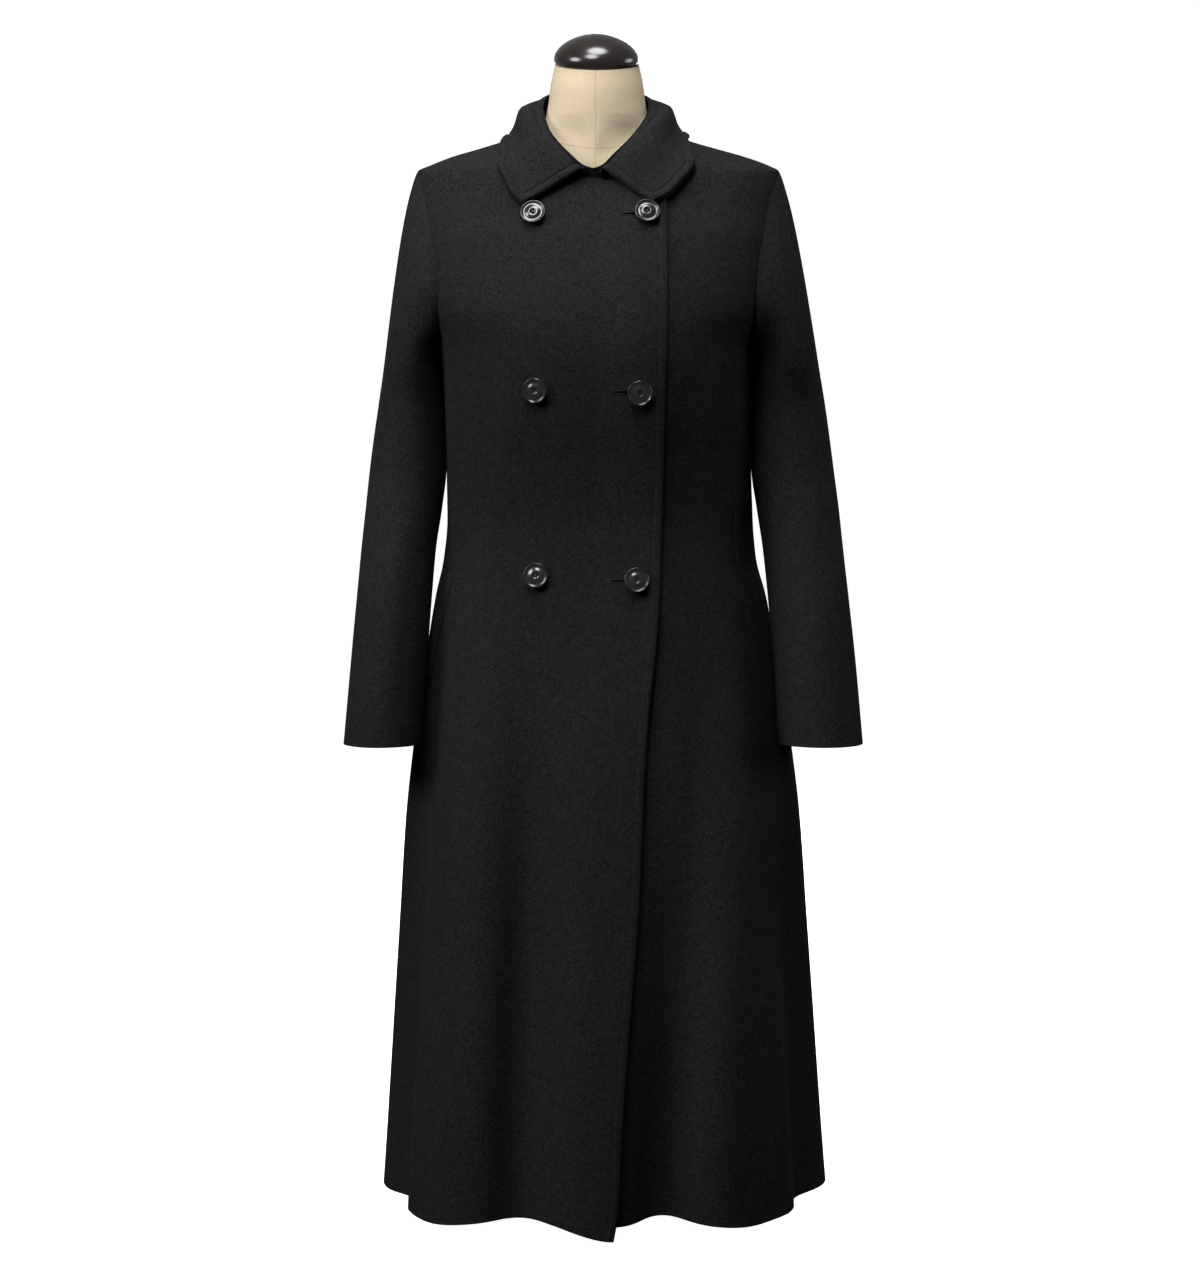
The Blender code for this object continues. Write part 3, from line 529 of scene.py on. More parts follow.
CAMERA_PLACE = Vector((0.00315, -4, 0.845))
CAMERA_TARGET = Vector((0.00315, 0, 0.592))
CAMERA_FIELD = math.radians(19.13)


def smooth_curve(places, values):
    """Return a function that runs smoothly through the points and never past them."""
    place = np.array(places, float)
    value = np.array(values, float)
    step = np.diff(place)
    rise = np.diff(value) / step
    slope = np.zeros(len(place))
    slope[0] = rise[0]
    slope[-1] = rise[-1]
    for index in range(1, len(place) - 1):
        before, after = rise[index - 1], rise[index]
        if before * after > 0:
            slope[index] = 2 * before * after / (before + after)

    def read(at):
        at = np.clip(np.asarray(at, float), place[0], place[-1])
        index = np.clip(np.searchsorted(place, at) - 1, 0, len(step) - 1)
        share = (at - place[index]) / step[index]
        rest = 1 - share
        start = value[index] * (1 + 2 * share) + slope[index] * step[index] * share
        end = value[index + 1] * (1 + 2 * rest) - slope[index + 1] * step[index] * rest
        return start * rest * rest + end * share * share

    return read


def columns(rows, scales):
    """Return a smooth curve for each column of a table, against its first column."""
    names = rows[0]._fields
    places = [row[0] * scales.get(names[0], MM) for row in rows]
    return {
        name: smooth_curve(places, [getattr(row, name) * scales.get(name, MM) for row in rows])
        for name in names[1:]
    }


BODY_AT = columns(BODY, {"square": 1})
FRONT_EDGE_AT = columns(FRONT_EDGE, {})["across"]
LONG_SEAM_AT = columns(LONG_SEAMS, {"front": 1, "back": 1})
NECKLINE_AT = columns(NECKLINE, {"turn": 1})["height"]
SLEEVE_AT = columns(SLEEVES[::-1], {})
COLLAR_SCALES = dict.fromkeys(("share", "band_turn", "roll_turn", "edge_right", "edge_left"), 1)
COLLAR_AT = columns(COLLAR, COLLAR_SCALES)
EASE_AT = columns(FORM_EASE, {})["gap"]
NECK_AT = columns(FORM_NECK, {"square": 1})
LEAF_AT = columns(LEAF, {"share": 1})


def smooth_step(value):
    """Rise smoothly from 0 to 1 while the value does."""
    value = np.clip(value, 0, 1)
    return value * value * (3 - 2 * value)


def unit(vectors):
    return vectors / np.linalg.norm(vectors, axis=-1, keepdims=True)


def places_of(angle, height):
    """Join angles and heights to an array of places on the body."""
    return np.stack(np.broadcast_arrays(np.asarray(angle, float), np.asarray(height, float)), axis=-1)


def oval_radius(angle, right, left, back, front, square):
    """Return how far a rounded section reaches in each direction."""
    cosine = np.cos(np.radians(angle))
    sine = np.sin(np.radians(angle))
    across = np.abs(cosine) / np.where(cosine > 0, right, left)
    along = np.abs(sine) / np.where(sine > 0, back, front)
    return (across ** square + along ** square) ** (-1 / square)


def fold_rise(angle, height):
    """Return how far the skirt's folds push the cloth out."""
    total = np.zeros_like(angle)
    for fold in FOLDS:
        top = fold.top * MM
        away = (angle - fold.angle + 180) % 360 - 180
        growth = np.clip((top - height) / (top - HEM_HEIGHT), 0, None) ** FOLD_GROWTH
        total = total + fold.rise * MM * growth * np.exp(-((away / fold.width) ** 2))
    return total


def section_radius(curves, angle, height):
    """Return how far the section at a height reaches in each direction."""
    return oval_radius(angle, **{name: curve(height) for name, curve in curves.items()})


def body_points(places):
    """Return points of the coat's outer face."""
    angle, height = places[..., 0], places[..., 1]
    radius = section_radius(BODY_AT, angle, height) + fold_rise(angle, height)
    turn = np.radians(angle)
    return np.stack((radius * np.cos(turn), radius * np.sin(turn), height), axis=-1)


def body_normals(places):
    """Return the outward directions of the coat's outer face."""
    turn_step = np.array((0.5, 0))
    height_step = np.array((0, 1.5 * MM))
    across = body_points(places + turn_step) - body_points(places - turn_step)
    upward = body_points(places + height_step) - body_points(places - height_step)
    return unit(np.cross(across, upward))


def angle_at(across, height, back=False):
    """Return the angle where the coat reaches a distance from its middle, in front or behind."""
    half_width = np.where(np.asarray(across) > 0, BODY_AT["right"](height), BODY_AT["left"](height))
    depth = BODY_AT["back"](height) if back else -BODY_AT["front"](height)
    square = BODY_AT["square"](height)
    share = np.minimum(np.abs(across) / half_width, 1)
    along = depth * (1 - share ** square) ** (1 / square)
    return np.degrees(np.arctan2(along, across)) % 360


def near(angle, middle):
    """Return the same angle counted within half a turn of a middle."""
    return (angle - middle + 180) % 360 - 180 + middle


def side_angle(angle, side):
    """Turn an angle given for the wearer's left to the named side."""
    return angle if side > 0 else 180 - angle


# Seam lines as places on the body


def armhole_places(side, turn):
    """Return places on the armhole, from 0 at its top through 90 in front and 180 below."""
    sine = np.sin(np.radians(turn))
    cosine = np.cos(np.radians(turn))
    middle = (ARMHOLE_TOP + ARMHOLE_BOTTOM) / 2
    half_height = (ARMHOLE_TOP - ARMHOLE_BOTTOM) / 2
    angle = -ARMHOLE_HALF_ANGLE * sine * (1 - ARMHOLE_EGG * cosine)
    return places_of(side_angle(angle, side), middle + half_height * cosine)


def armhole_turns():
    """Return the turns of the points shared by all pieces that meet at the armhole."""
    upper = np.linspace(-YOKE_END, YOKE_END, YOKE_ACROSS + 1)
    front = np.linspace(YOKE_END, PANEL_JOINT, ARMHOLE_SIDE_STEPS + 1)
    under = np.linspace(PANEL_JOINT, 360 - PANEL_JOINT, ARMHOLE_UNDER_STEPS + 1)
    back = np.linspace(360 - PANEL_JOINT, 360 - YOKE_END, ARMHOLE_SIDE_STEPS + 1)
    return upper, front, under, back


def long_seam(side, back):
    """Return the seam from the hem to the armhole, in front of or behind the side panel."""
    joint = armhole_places(side, 360 - PANEL_JOINT if back else PANEL_JOINT)
    heights = np.linspace(HEM_HEIGHT, joint[1], SEAM_ROWS + 1)
    half_width = BODY_AT["right" if side > 0 else "left"](heights)
    share = LONG_SEAM_AT["back" if back else "front"](heights)
    line = places_of(angle_at(side * share * half_width, heights, back), heights)
    line[-1] = joint
    return line


def neck_line(side, first, last, steps):
    turn = np.linspace(first, last, steps + 1)
    return places_of(270 + side * turn, NECKLINE_AT(np.minimum(turn, 360 - turn)))


def yoke_seam(side, back):
    """Return the seam from the armhole to the neckline, in front of or behind the shoulder."""
    turn = YOKE_BACK_TURN if back else YOKE_FRONT_TURN
    middle = 90 if back else 270
    rows = [neck_line(side, turn, turn, 0)[0]]
    for row in YOKE_SEAM:
        height = (row.back_height if back else row.front_height) * MM
        rows.append(places_of(angle_at(side * row.across * MM, height, back), height))
    rows.append(armhole_places(side, -YOKE_END if back else YOKE_END))
    rows = np.array(rows)
    rows[:, 0] = near(rows[:, 0], middle)
    steps = np.linalg.norm(np.diff(body_points(rows), axis=0), axis=1)
    lengths = np.concatenate(([0], np.cumsum(steps)))
    at = np.linspace(lengths[-1], 0, YOKE_STEPS + 1)
    return places_of(smooth_curve(lengths, rows[:, 0])(at), smooth_curve(lengths, rows[:, 1])(at))


# Walls of cloth


def patch(bottom, top, left, right, middle, top_start):
    """Fill four seam lines that share their corners with a grid of places.

    The top line shapes only the rows above top_start, a share of the way up.
    """
    lines = []
    for line in (bottom, top, left, right):
        line = np.array(line)
        line[:, 0] = near(line[:, 0], middle)
        lines.append(line)
    bottom, top, left, right = lines
    s = np.linspace(0, 1, len(bottom))[None, :, None]
    t = np.linspace(0, 1, len(left))[:, None, None]
    reach = np.maximum(0, (t - top_start) / (1 - top_start))
    sides = (1 - s) * left[:, None] + s * right[:, None]
    low = (1 - s) * bottom[0] + s * bottom[-1]
    high = (1 - s) * top[0] + s * top[-1]
    return sides + (1 - t) * (bottom[None] - low) + reach * (top[None] - high)


def grid_normals(points):
    """Return the directions square to a grid of points."""
    return unit(np.cross(np.gradient(points, axis=1), np.gradient(points, axis=0)))


def grid_faces(rows, across):
    """Return the faces between the points of a grid."""
    index = np.arange(rows * across).reshape(rows, across)
    corners = (index[:-1, :-1], index[:-1, 1:], index[1:, 1:], index[1:, :-1])
    return np.stack(corners, axis=-1).reshape(-1, 4)


def wall(name, outer, inner, finish, slot, rounding_width=SEAM_ROUND):
    """Close two grids of points into one shell that stands for its solid."""
    rows, across = outer.shape[:2]
    count = rows * across
    index = np.arange(count).reshape(rows, across)
    face = grid_faces(rows, across)
    rim = np.concatenate((index[0, :-1], index[:-1, -1], index[-1, :0:-1], index[:0:-1, 0]))
    after = np.roll(rim, -1)
    closing = np.stack((rim + count, after + count, after, rim), axis=-1)
    points = np.concatenate((outer.reshape(-1, 3), inner.reshape(-1, 3)))
    faces = np.concatenate((face, face[:, ::-1] + count, closing))
    piece = add_piece(name, points, faces, finish)
    rounding = piece.modifiers.new("rounded edges", "BEVEL")
    rounding.width = rounding_width
    rounding.segments = 3
    rounding.limit_method = "ANGLE"
    rounding.angle_limit = math.radians(60)
    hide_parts(name)
    return piece


def add_piece(name, points, faces, finish):
    """Make one smooth object that rides with the part."""
    mesh = bpy.data.meshes.new(name + "_look")
    mesh.from_pydata(points.tolist(), [], faces.tolist())
    shape = bmesh.new()
    shape.from_mesh(mesh)
    bmesh.ops.recalc_face_normals(shape, faces=shape.faces)
    shape.to_mesh(mesh)
    shape.free()
    mesh.shade_smooth()
    mesh.set_sharp_from_angle(angle=math.radians(55))
    mesh.materials.append(finish)
    piece = bpy.data.objects.new(name + "_look", mesh)
    bpy.context.scene.collection.objects.link(piece)
    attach(piece, "root")
    return piece


def flat_layer(points):
    return 0


def panel_points(places, lift=flat_layer):
    """Return the outer points and outward directions of a panel."""
    points = body_points(places)
    normals = body_normals(places)
    return points + normals * np.asarray(lift(points))[..., None], normals


def crease_rise(name, points):
    """Return how far the soft creases push a panel's cloth out."""
    total = np.zeros(points.shape[:-1])
    for crease in CREASES:
        half = np.where(points[..., 1] > 0, "back", "front")
        facing = (half == crease.where) | (name == crease.where)
        lean = math.radians(crease.lean)
        right = points[..., 0] / MM - crease.across
        up = points[..., 2] / MM - crease.height
        over = (right * math.cos(lean) + up * math.sin(lean)) / crease.width
        along = (up * math.cos(lean) - right * math.sin(lean)) / crease.length
        total += facing * crease.rise * MM * np.exp(-(over ** 2) - along ** 2)
    return total


def draped(name, layer):
    """Return the lift of a panel's own layer and its creases."""
    return lambda points: layer(points) + crease_rise(name, points)


def distance_to_line(points, line):
    """Return the distances from points to a line of short straight pieces."""
    flat = points.reshape(-1, 3)
    nearest = np.full(len(flat), np.inf)
    for start, end in zip(line[:-1], line[1:]):
        way = end - start
        share = np.clip((flat - start) @ way / max(way @ way, 1e-12), 0, 1)
        nearest = np.minimum(nearest, np.linalg.norm(flat - start - share[:, None] * way, axis=1))
    return nearest.reshape(points.shape[:-1])


def edge_relief(distance, depth, sewing):
    """Return the swell along a sewn edge, its rounding and the groove of its stitch line."""
    inside = smooth_step(distance / (SWELL_START * STITCH_INSET))
    near_edge = np.clip(1 - distance / EDGE_CURVE, 0, 1)
    rounding = depth * (1 - np.sqrt(1 - near_edge ** 2))
    fall = (1 - SWELL_END) * STITCH_INSET
    outside = 1 - smooth_step((distance - SWELL_END * STITCH_INSET) / fall)
    groove = np.exp(-(((distance - STITCH_INSET) / STITCH_WIDTH) ** 2))
    return sewing.puff * MM * inside * outside - sewing.groove * MM * groove - rounding


def cloth_panel(name, places, finish, lift=flat_layer, sewn_edge=False):
    """Make a wall on the body from a grid of places, its last column sewn where that is asked."""
    outer, normals = panel_points(places, draped(name, lift))
    relief = np.zeros(outer.shape[:2])
    if sewn_edge:
        distance = distance_to_line(outer, outer[:, -1])
        relief = edge_relief(distance, CLOTH - EDGE_LIP, FRONT_SEWING)
    inner = outer - normals * CLOTH
    return wall(name, outer + normals * relief[..., None], inner, finish, "wool")


def dense_to_edge(places):
    """Spread a grid's columns anew so that they lie closer towards its last column."""
    last = places.shape[1] - 1
    at = last * (1 - np.linspace(1, 0, FRONT_COLUMNS + 1) ** FRONT_END_POWER)
    low = np.minimum(at.astype(int), last - 1)
    share = (at - low)[None, :, None]
    return places[:, low] * (1 - share) + places[:, low + 1] * share


# Pieces of the coat


def crossing(points):
    """Rise from 0 to 1 across the strip where the two fronts change places."""
    start = FRONT_EDGE_AT(points[..., 2]) - CROSSOVER_INSET
    return smooth_step((points[..., 0] - start) / CROSSOVER)


def stand_off(points):
    """Return how far the top front swings out towards its edge."""
    distance = FRONT_EDGE_AT(points[..., 2]) - points[..., 0]
    lower = smooth_step((EDGE_LIFT_TOP - points[..., 2]) / EDGE_LIFT_FADE)
    return EDGE_LIFT * lower * smooth_step(1 - distance / EDGE_LIFT_WIDTH)


def top_layer(points):
    return FRONT_LAYER * crossing(points) + stand_off(points)


def under_layer(points):
    return FRONT_LAYER * (crossing(points) - 1)


def hem_wave(angle):
    """Return how far the front's hem rises at an angle."""
    return sum(w.rise * MM * np.exp(-(((angle - w.angle) / w.width) ** 2)) for w in HEM_WAVES)


def front_hem(start, end, steps, drop):
    """Return a front's hem with its waves and its dropped corner."""
    angles = np.linspace(near(start, 270), near(end, 270), steps)
    hem_x = body_points(places_of(angles, HEM_HEIGHT))[:, 0]
    to_corner = np.abs(hem_x - hem_x[-1])
    corner = drop * smooth_step(1 - to_corner / FRONT_CORNER_WIDTH)
    return places_of(angles, HEM_HEIGHT + hem_wave(angles) - corner)


def front_top(side, end):
    """Return a front's upper line: the yoke seam, the neckline and the stretch on to its free edge."""
    extension = places_of(
        np.linspace(270, end, EXTENSION_STEPS + 1),
        np.linspace(NECK_CENTRE_HEIGHT, NECK_END_HEIGHT, EXTENSION_STEPS + 1),
    )
    neck = neck_line(side, YOKE_FRONT_TURN, 0, NECK_STEPS)
    return np.concatenate((yoke_seam(side, False), neck[1:], extension[1:]))


def front_places(side, shift, drop):
    """Return the grid of a front from its long seam to its free edge."""
    _, armhole_front, _, _ = armhole_turns()
    seam = long_seam(side, False)
    outer = np.concatenate((seam, armhole_places(side, armhole_front[::-1])[1:]))
    upper = np.linspace(seam[-1, 1], NECK_END_HEIGHT, ARMHOLE_SIDE_STEPS + 1)
    heights = np.concatenate((seam[:-1, 1], upper))
    heights[0] -= drop
    edge = places_of(angle_at(FRONT_EDGE_AT(heights) - shift, heights), heights)
    top = front_top(side, edge[-1, 0])
    hem = front_hem(outer[0, 0], edge[0, 0], len(top), drop)
    return dense_to_edge(patch(hem, top, outer, edge, 270, FRONT_TOP_START))


def hem_line(start, end, steps, middle):
    return places_of(np.linspace(near(start, middle), near(end, middle), steps + 1), HEM_HEIGHT)


def side_places(side):
    """Return the grid of the panel under the arm."""
    _, _, under, _ = armhole_turns()
    seam = long_seam(side, False)
    back_seam = long_seam(side, True)
    middle = side_angle(0, side)
    hem = hem_line(seam[0, 0], back_seam[0, 0], ARMHOLE_UNDER_STEPS, middle)
    return patch(hem, armhole_places(side, under), seam, back_seam, middle, SIDE_TOP_START)


def back_places():
    """Return the grid of the back from seam to seam, up to the yokes and the neckline."""
    _, _, _, armhole_back = armhole_turns()
    left = np.concatenate((long_seam(-1, True), armhole_places(-1, armhole_back)[1:]))
    right = np.concatenate((long_seam(1, True), armhole_places(1, armhole_back)[1:]))
    neck = neck_line(-1, YOKE_BACK_TURN, 360 - YOKE_BACK_TURN, BACK_NECK_STEPS)
    top = np.concatenate((yoke_seam(-1, True), neck[1:], yoke_seam(1, True)[::-1][1:]))
    hem = hem_line(left[0, 0], right[0, 0], len(top) - 1, 90)
    return patch(hem, top, left, right, 90, 0)


def yoke_places(side):
    """Return the grid of the shoulder piece between the neckline and the armhole."""
    upper, _, _, _ = armhole_turns()
    armhole = armhole_places(side, upper[::-1])
    neck = neck_line(side, YOKE_FRONT_TURN, YOKE_BACK_TURN, YOKE_ACROSS)
    return patch(armhole, neck, yoke_seam(side, False), yoke_seam(side, True), side_angle(0, side), 0)


def pocket_welt(name, side, finish):
    """Make a welt from the side panel's own points, moved out."""
    heights = np.linspace(POCKET_TOP - POCKET_LENGTH, POCKET_TOP, POCKET_ROWS + 1)
    down = (POCKET_TOP - heights) / POCKET_LENGTH
    half_width = BODY_AT["right" if side > 0 else "left"](heights)
    across = side * LONG_SEAM_AT["front"](heights) * half_width
    seam = near(angle_at(across, heights), side_angle(0, side))
    start = POCKET_START_ANGLE + POCKET_SLANT_ANGLE * down
    angles = start[:, None] + np.linspace(0, POCKET_WIDTH_ANGLE, POCKET_ACROSS + 1)
    places = places_of(seam[:, None] + side * angles, heights[:, None])
    points, normals = panel_points(places)
    outer = points + normals * (WELT_GAP + WELT)
    return wall(name, outer, points + normals * WELT_GAP, finish, "wool")


# Sleeves


def sleeve_ring_points(side, turn, height):
    """Return points of a sleeve's outer face below the armhole."""
    name = "left" if side > 0 else "right"
    inner = SLEEVE_AT["inner_" + name](height)
    outer = SLEEVE_AT["outer_" + name](height)
    front_reach = SLEEVE_AT["front"](height)
    back_reach = SLEEVE_AT["back"](height)
    cosine = np.cos(np.radians(turn))
    sine = np.sin(np.radians(turn))
    across = (inner + outer) / 2 + (outer - inner) / 2 * cosine
    along = (back_reach - front_reach) / 2 - (front_reach + back_reach) / 2 * sine
    return np.stack(np.broadcast_arrays(side * across, along, height), axis=-1)


def sleeve_head(side, turns):
    """Return the rows of points from the armhole to the upper arm."""
    places = armhole_places(side, turns)
    edge = body_points(places)
    normal = unit(sum(body_normals(armhole_places(side, turns + step)) for step in HEAD_BLEND))
    turn_step = 1.0
    ahead = body_points(armhole_places(side, turns + turn_step))
    behind = body_points(armhole_places(side, turns - turn_step))
    inward = unit(np.cross(normal, ahead - behind)) * side
    cosine = np.cos(np.radians(turns))[:, None]
    under = ((1 - cosine) / 2) ** HEAD_UNDER_POWER
    lean = np.radians(HEAD_LEAN + HEAD_LEAN * cosine - HEAD_UNDER * under)
    end = sleeve_ring_points(side, turns, np.full_like(turns, BICEP_HEIGHT))
    span = np.linalg.norm(end - edge, axis=1, keepdims=True)
    reach = span * (HEAD_LEAVE - HEAD_LEAVE_CHANGE * cosine)
    leave = edge + (normal * np.cos(lean) + inward * np.sin(lean)) * reach
    below = sleeve_ring_points(side, turns, np.full_like(turns, BICEP_HEIGHT - HEAD_ARRIVE_STEP))
    arrive = end + span * HEAD_ARRIVE * unit(end - below)
    share = np.linspace(0, 1, HEAD_STEPS + 1)[:, None, None]
    rest = 1 - share
    upper = rest ** 3 * edge + 3 * rest ** 2 * share * leave
    return upper + 3 * rest * share ** 2 * arrive + share ** 3 * end


def sleeve_piece(name, outer, inner, first, last, finish):
    """Make one piece of a sleeve from the columns between its two seams."""
    walls = []
    for grid in (outer, inner):
        walls.append(grid[:, np.arange(first, last + 1) % grid.shape[1]])
    return wall(name, *walls, finish, "wool")


def sleeve_crease_rise(side, turns, heights):
    """Return how far the soft creases push a sleeve's cloth out."""
    total = np.zeros(heights.shape)
    for crease in SLEEVE_CREASES:
        if crease.side == side:
            turn = (turns[None] - crease.turn + 180) % 360 - 180
            up = (heights / MM - crease.height - crease.lean * turn) / crease.length
            total += crease.rise * MM * np.exp(-((turn / crease.spread) ** 2) - up ** 2)
    return total


def sleeve(side, name, finish):
    """Make a two-piece sleeve, its seams at the ends of the armhole's under part."""
    upper, front_part, under, back_part = armhole_turns()
    turns = np.concatenate((upper, front_part[1:], under[1:], back_part[1:-1]))
    front_seam = YOKE_ACROSS + ARMHOLE_SIDE_STEPS
    back_seam = front_seam + ARMHOLE_UNDER_STEPS
    heights = np.linspace(BICEP_HEIGHT, CUFF_HEIGHT, SLEEVE_STEPS + 1)[1:, None]
    outer = np.concatenate((sleeve_head(side, turns), sleeve_ring_points(side, turns[None], heights)))
    along = np.gradient(outer, axis=0)
    across = np.roll(outer, -1, axis=1) - np.roll(outer, 1, axis=1)
    normals = unit(np.cross(across, along)) * side
    inner = outer - normals * CLOTH
    outer = outer + normals * sleeve_crease_rise(side, turns, outer[..., 2])[..., None]
    under_piece = sleeve_piece(f"sleeve_{name}_under", outer, inner, front_seam, back_seam, finish)
    last = front_seam + len(turns)
    top_piece = sleeve_piece(f"sleeve_{name}_top", outer, inner, back_seam, last, finish)
    return under_piece, top_piece


# Collar


def collar_places():
    """Return the side and the share towards the back for each step along the collar."""
    along = np.linspace(-1, 1, COLLAR_STEPS + 1)
    return np.where(along < 0, -1, 1), (1 - np.abs(along)) ** COLLAR_END_POWER


def roll_points(side, share, turn_column):
    """Return points of the crest where the collar turns down."""
    turn = np.radians(COLLAR_AT[turn_column](share))
    reach = np.where(np.cos(turn) > 0, ROLL_FRONT, ROLL_BACK)
    across = COLLAR_AT["roll_centre"](share) + side * ROLL_HALF_WIDTH * np.sin(turn)
    return np.stack((across, -reach * np.cos(turn), COLLAR_AT["roll_height"](share)), axis=-1)


def crest_ways(crest):
    """Return the level directions from the neck out through points of the crest."""
    return unit(np.stack((crest[:, 0] - COLLAR_CENTRE, crest[:, 1], 0 * crest[:, 0]), axis=-1))


def edge_points(side, share):
    """Return points of the collar's free edge, resting on the cloth below it."""
    turn = np.where(side > 0, COLLAR_AT["edge_left"](share), COLLAR_AT["edge_right"](share))
    places = places_of(270 + side * turn, COLLAR_AT["edge_height"](share))
    points = body_points(places)
    lift = LEAF_AT["lift"](share) + LEAF_OVER_FRONT * top_layer(points)
    return points + body_normals(places) * lift[:, None] + np.array((COLLAR_CENTRE, 0, 0))


def leaf_grid(side, share):
    """Return the leaf's points before its swell: over the crest, then down to its free edge."""
    crest = roll_points(side, share, "roll_turn")
    edge = edge_points(side, share)
    start = crest + unit(edge - crest) * ROLL_ROUND
    inside = crest - crest_ways(crest) * ROLL_INSIDE - np.array((0, 0, ROLL_DROP))
    turn = np.linspace(0, 1, ROLL_STEPS + 1)[:-1, None, None]
    rest = 1 - turn
    roll = rest ** 2 * inside + 2 * rest * turn * crest + turn ** 2 * start
    down = np.linspace(0, 1, LEAF_STEPS + 1)[:, None, None]
    return np.concatenate((roll, start * (1 - down) + edge * down))


def collar_leaf(finish):
    """Make the leaf with its swell, its hollow, its thicker edge and its sewing."""
    side, share = collar_places()
    flat = leaf_grid(side, share)
    normals = grid_normals(flat)
    down = np.linspace(0, 1, LEAF_STEPS + 1)[:, None]
    hollow = LEAF_AT["hollow"](share) * np.sin(np.pi * down ** LEAF_HOLLOW_POWER) ** 2
    swell = LEAF_AT["swell"](share) * np.sin(np.pi * down ** LEAF_SWELL_POWER) ** 2
    thickness = np.full(flat.shape[:2], CLOTH)
    edge_thickness = np.minimum(LEAF_AT["lift"](share) - LEAF_CLEAR, LEAF_EDGE)
    thickness[ROLL_STEPS:] += (edge_thickness - CLOTH) * down ** 2
    ends = np.concatenate((flat[ROLL_STEPS:, 0], flat[-1, 1:-1], flat[ROLL_STEPS:, -1][::-1]))
    relief = edge_relief(distance_to_line(flat, ends), thickness - EDGE_LIP, COLLAR_SEWING)
    flat[ROLL_STEPS:] += normals[ROLL_STEPS:] * (swell - hollow)[..., None]
    outer = flat + normals * relief[..., None]
    return wall("collar", outer, flat - normals * thickness[..., None], finish, "wool", EDGE_ROUND)


def collar_stand(finish):
    """Make the band that rises from the neckline to just under the crest."""
    side, share = collar_places()
    turn = COLLAR_AT["band_turn"](share)
    places = places_of(270 + side * turn, NECKLINE_AT(turn) - STAND_TUCK)
    behind = STAND_BEHIND * np.clip(np.cos(np.radians(turn)), 0, 1)
    low = body_points(places) - body_normals(places) * behind[:, None]
    crest = roll_points(side, share, "band_turn")
    high = crest - crest_ways(crest) * STAND_INSET - np.array((0, 0, STAND_DROP))
    up = np.linspace(0, 1, STAND_ROWS)[:, None, None]
    outer = low * (1 - up) + high * up
    return wall("collar_stand", outer, outer + grid_normals(outer) * STAND_CLOTH, finish, "wool")


# Buttons and dress form


def turned(name, profile, centre, axis, sides, finish):
    """Make a round solid from distances out from and along an axis, closed at both ends."""
    axis = Vector(axis).normalized()
    first = axis.orthogonal().normalized()
    second = np.array(axis.cross(first))
    first, axis = np.array(first), np.array(axis)
    turn = np.linspace(0, 2 * math.pi, sides, endpoint=False)
    ring = np.cos(turn)[:, None] * first + np.sin(turn)[:, None] * second
    points = np.concatenate([np.array(centre) + axis * up + ring * out for out, up in profile])
    return add_piece(name, points, ring_faces(len(profile), sides), finish)


def ring_faces(rings, sides):
    """Return the faces of stacked rings, with a fan of faces at each end."""
    index = np.arange(rings * sides).reshape(rings, sides)
    nxt = np.roll(index, -1, axis=1)
    walls = np.stack((index[:-1], nxt[:-1], nxt[1:], index[1:]), axis=-1).reshape(-1, 4)
    ends = []
    for ring in (index[0], index[-1]):
        for k in range(1, sides - 2, 2):
            ends.append((ring[0], ring[k], ring[k + 1], ring[k + 2]))
    return np.concatenate((walls, np.array(ends)))


def buttons(finish):
    """Make the buttons, each square to the cloth under it."""
    profile = [(ring.out * BUTTON_RADIUS, ring.up * BUTTON_RADIUS) for ring in BUTTON_PROFILE]
    for place in BUTTONS:
        height = place.height * MM
        at = places_of(angle_at(place.across * MM, height), height)
        point, normal = panel_points(at, draped("front_right", top_layer))
        seat = point + normal * BUTTON_GAP
        piece = turned(place.name, profile, seat, normal, ROUND_SIDES, finish)
        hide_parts(place.name)


def on_front(across, height):
    """Return points on the top front and their outward directions."""
    return panel_points(places_of(angle_at(across, height), height), draped("front_right", top_layer))


def beads(name, centres, ways, normals, finish):
    """Make a row of short round threads, each lying along its own way."""
    along = np.linspace(-1, 1, THREAD_RINGS)
    turn = np.linspace(0, 2 * math.pi, THREAD_SIDES, endpoint=False)[:, None]
    girth = THREAD_RADIUS * np.sqrt(1 - THREAD_TAPER * along ** 4)[:, None, None]
    centres, ways, normals = (rows[:, None, None] for rows in (centres, ways, normals))
    ring = np.cos(turn) * normals + np.sin(turn) * np.cross(normals, ways)
    spine = centres + ways * (along * THREAD_LENGTH / 2)[:, None, None]
    points = (spine + ring * girth).reshape(-1, 3)
    one = ring_faces(len(along), len(turn))
    steps = np.arange(len(centres)) * len(along) * len(turn)
    return add_piece(name, points, (one[None] + steps[:, None, None]).reshape(-1, 4), finish)


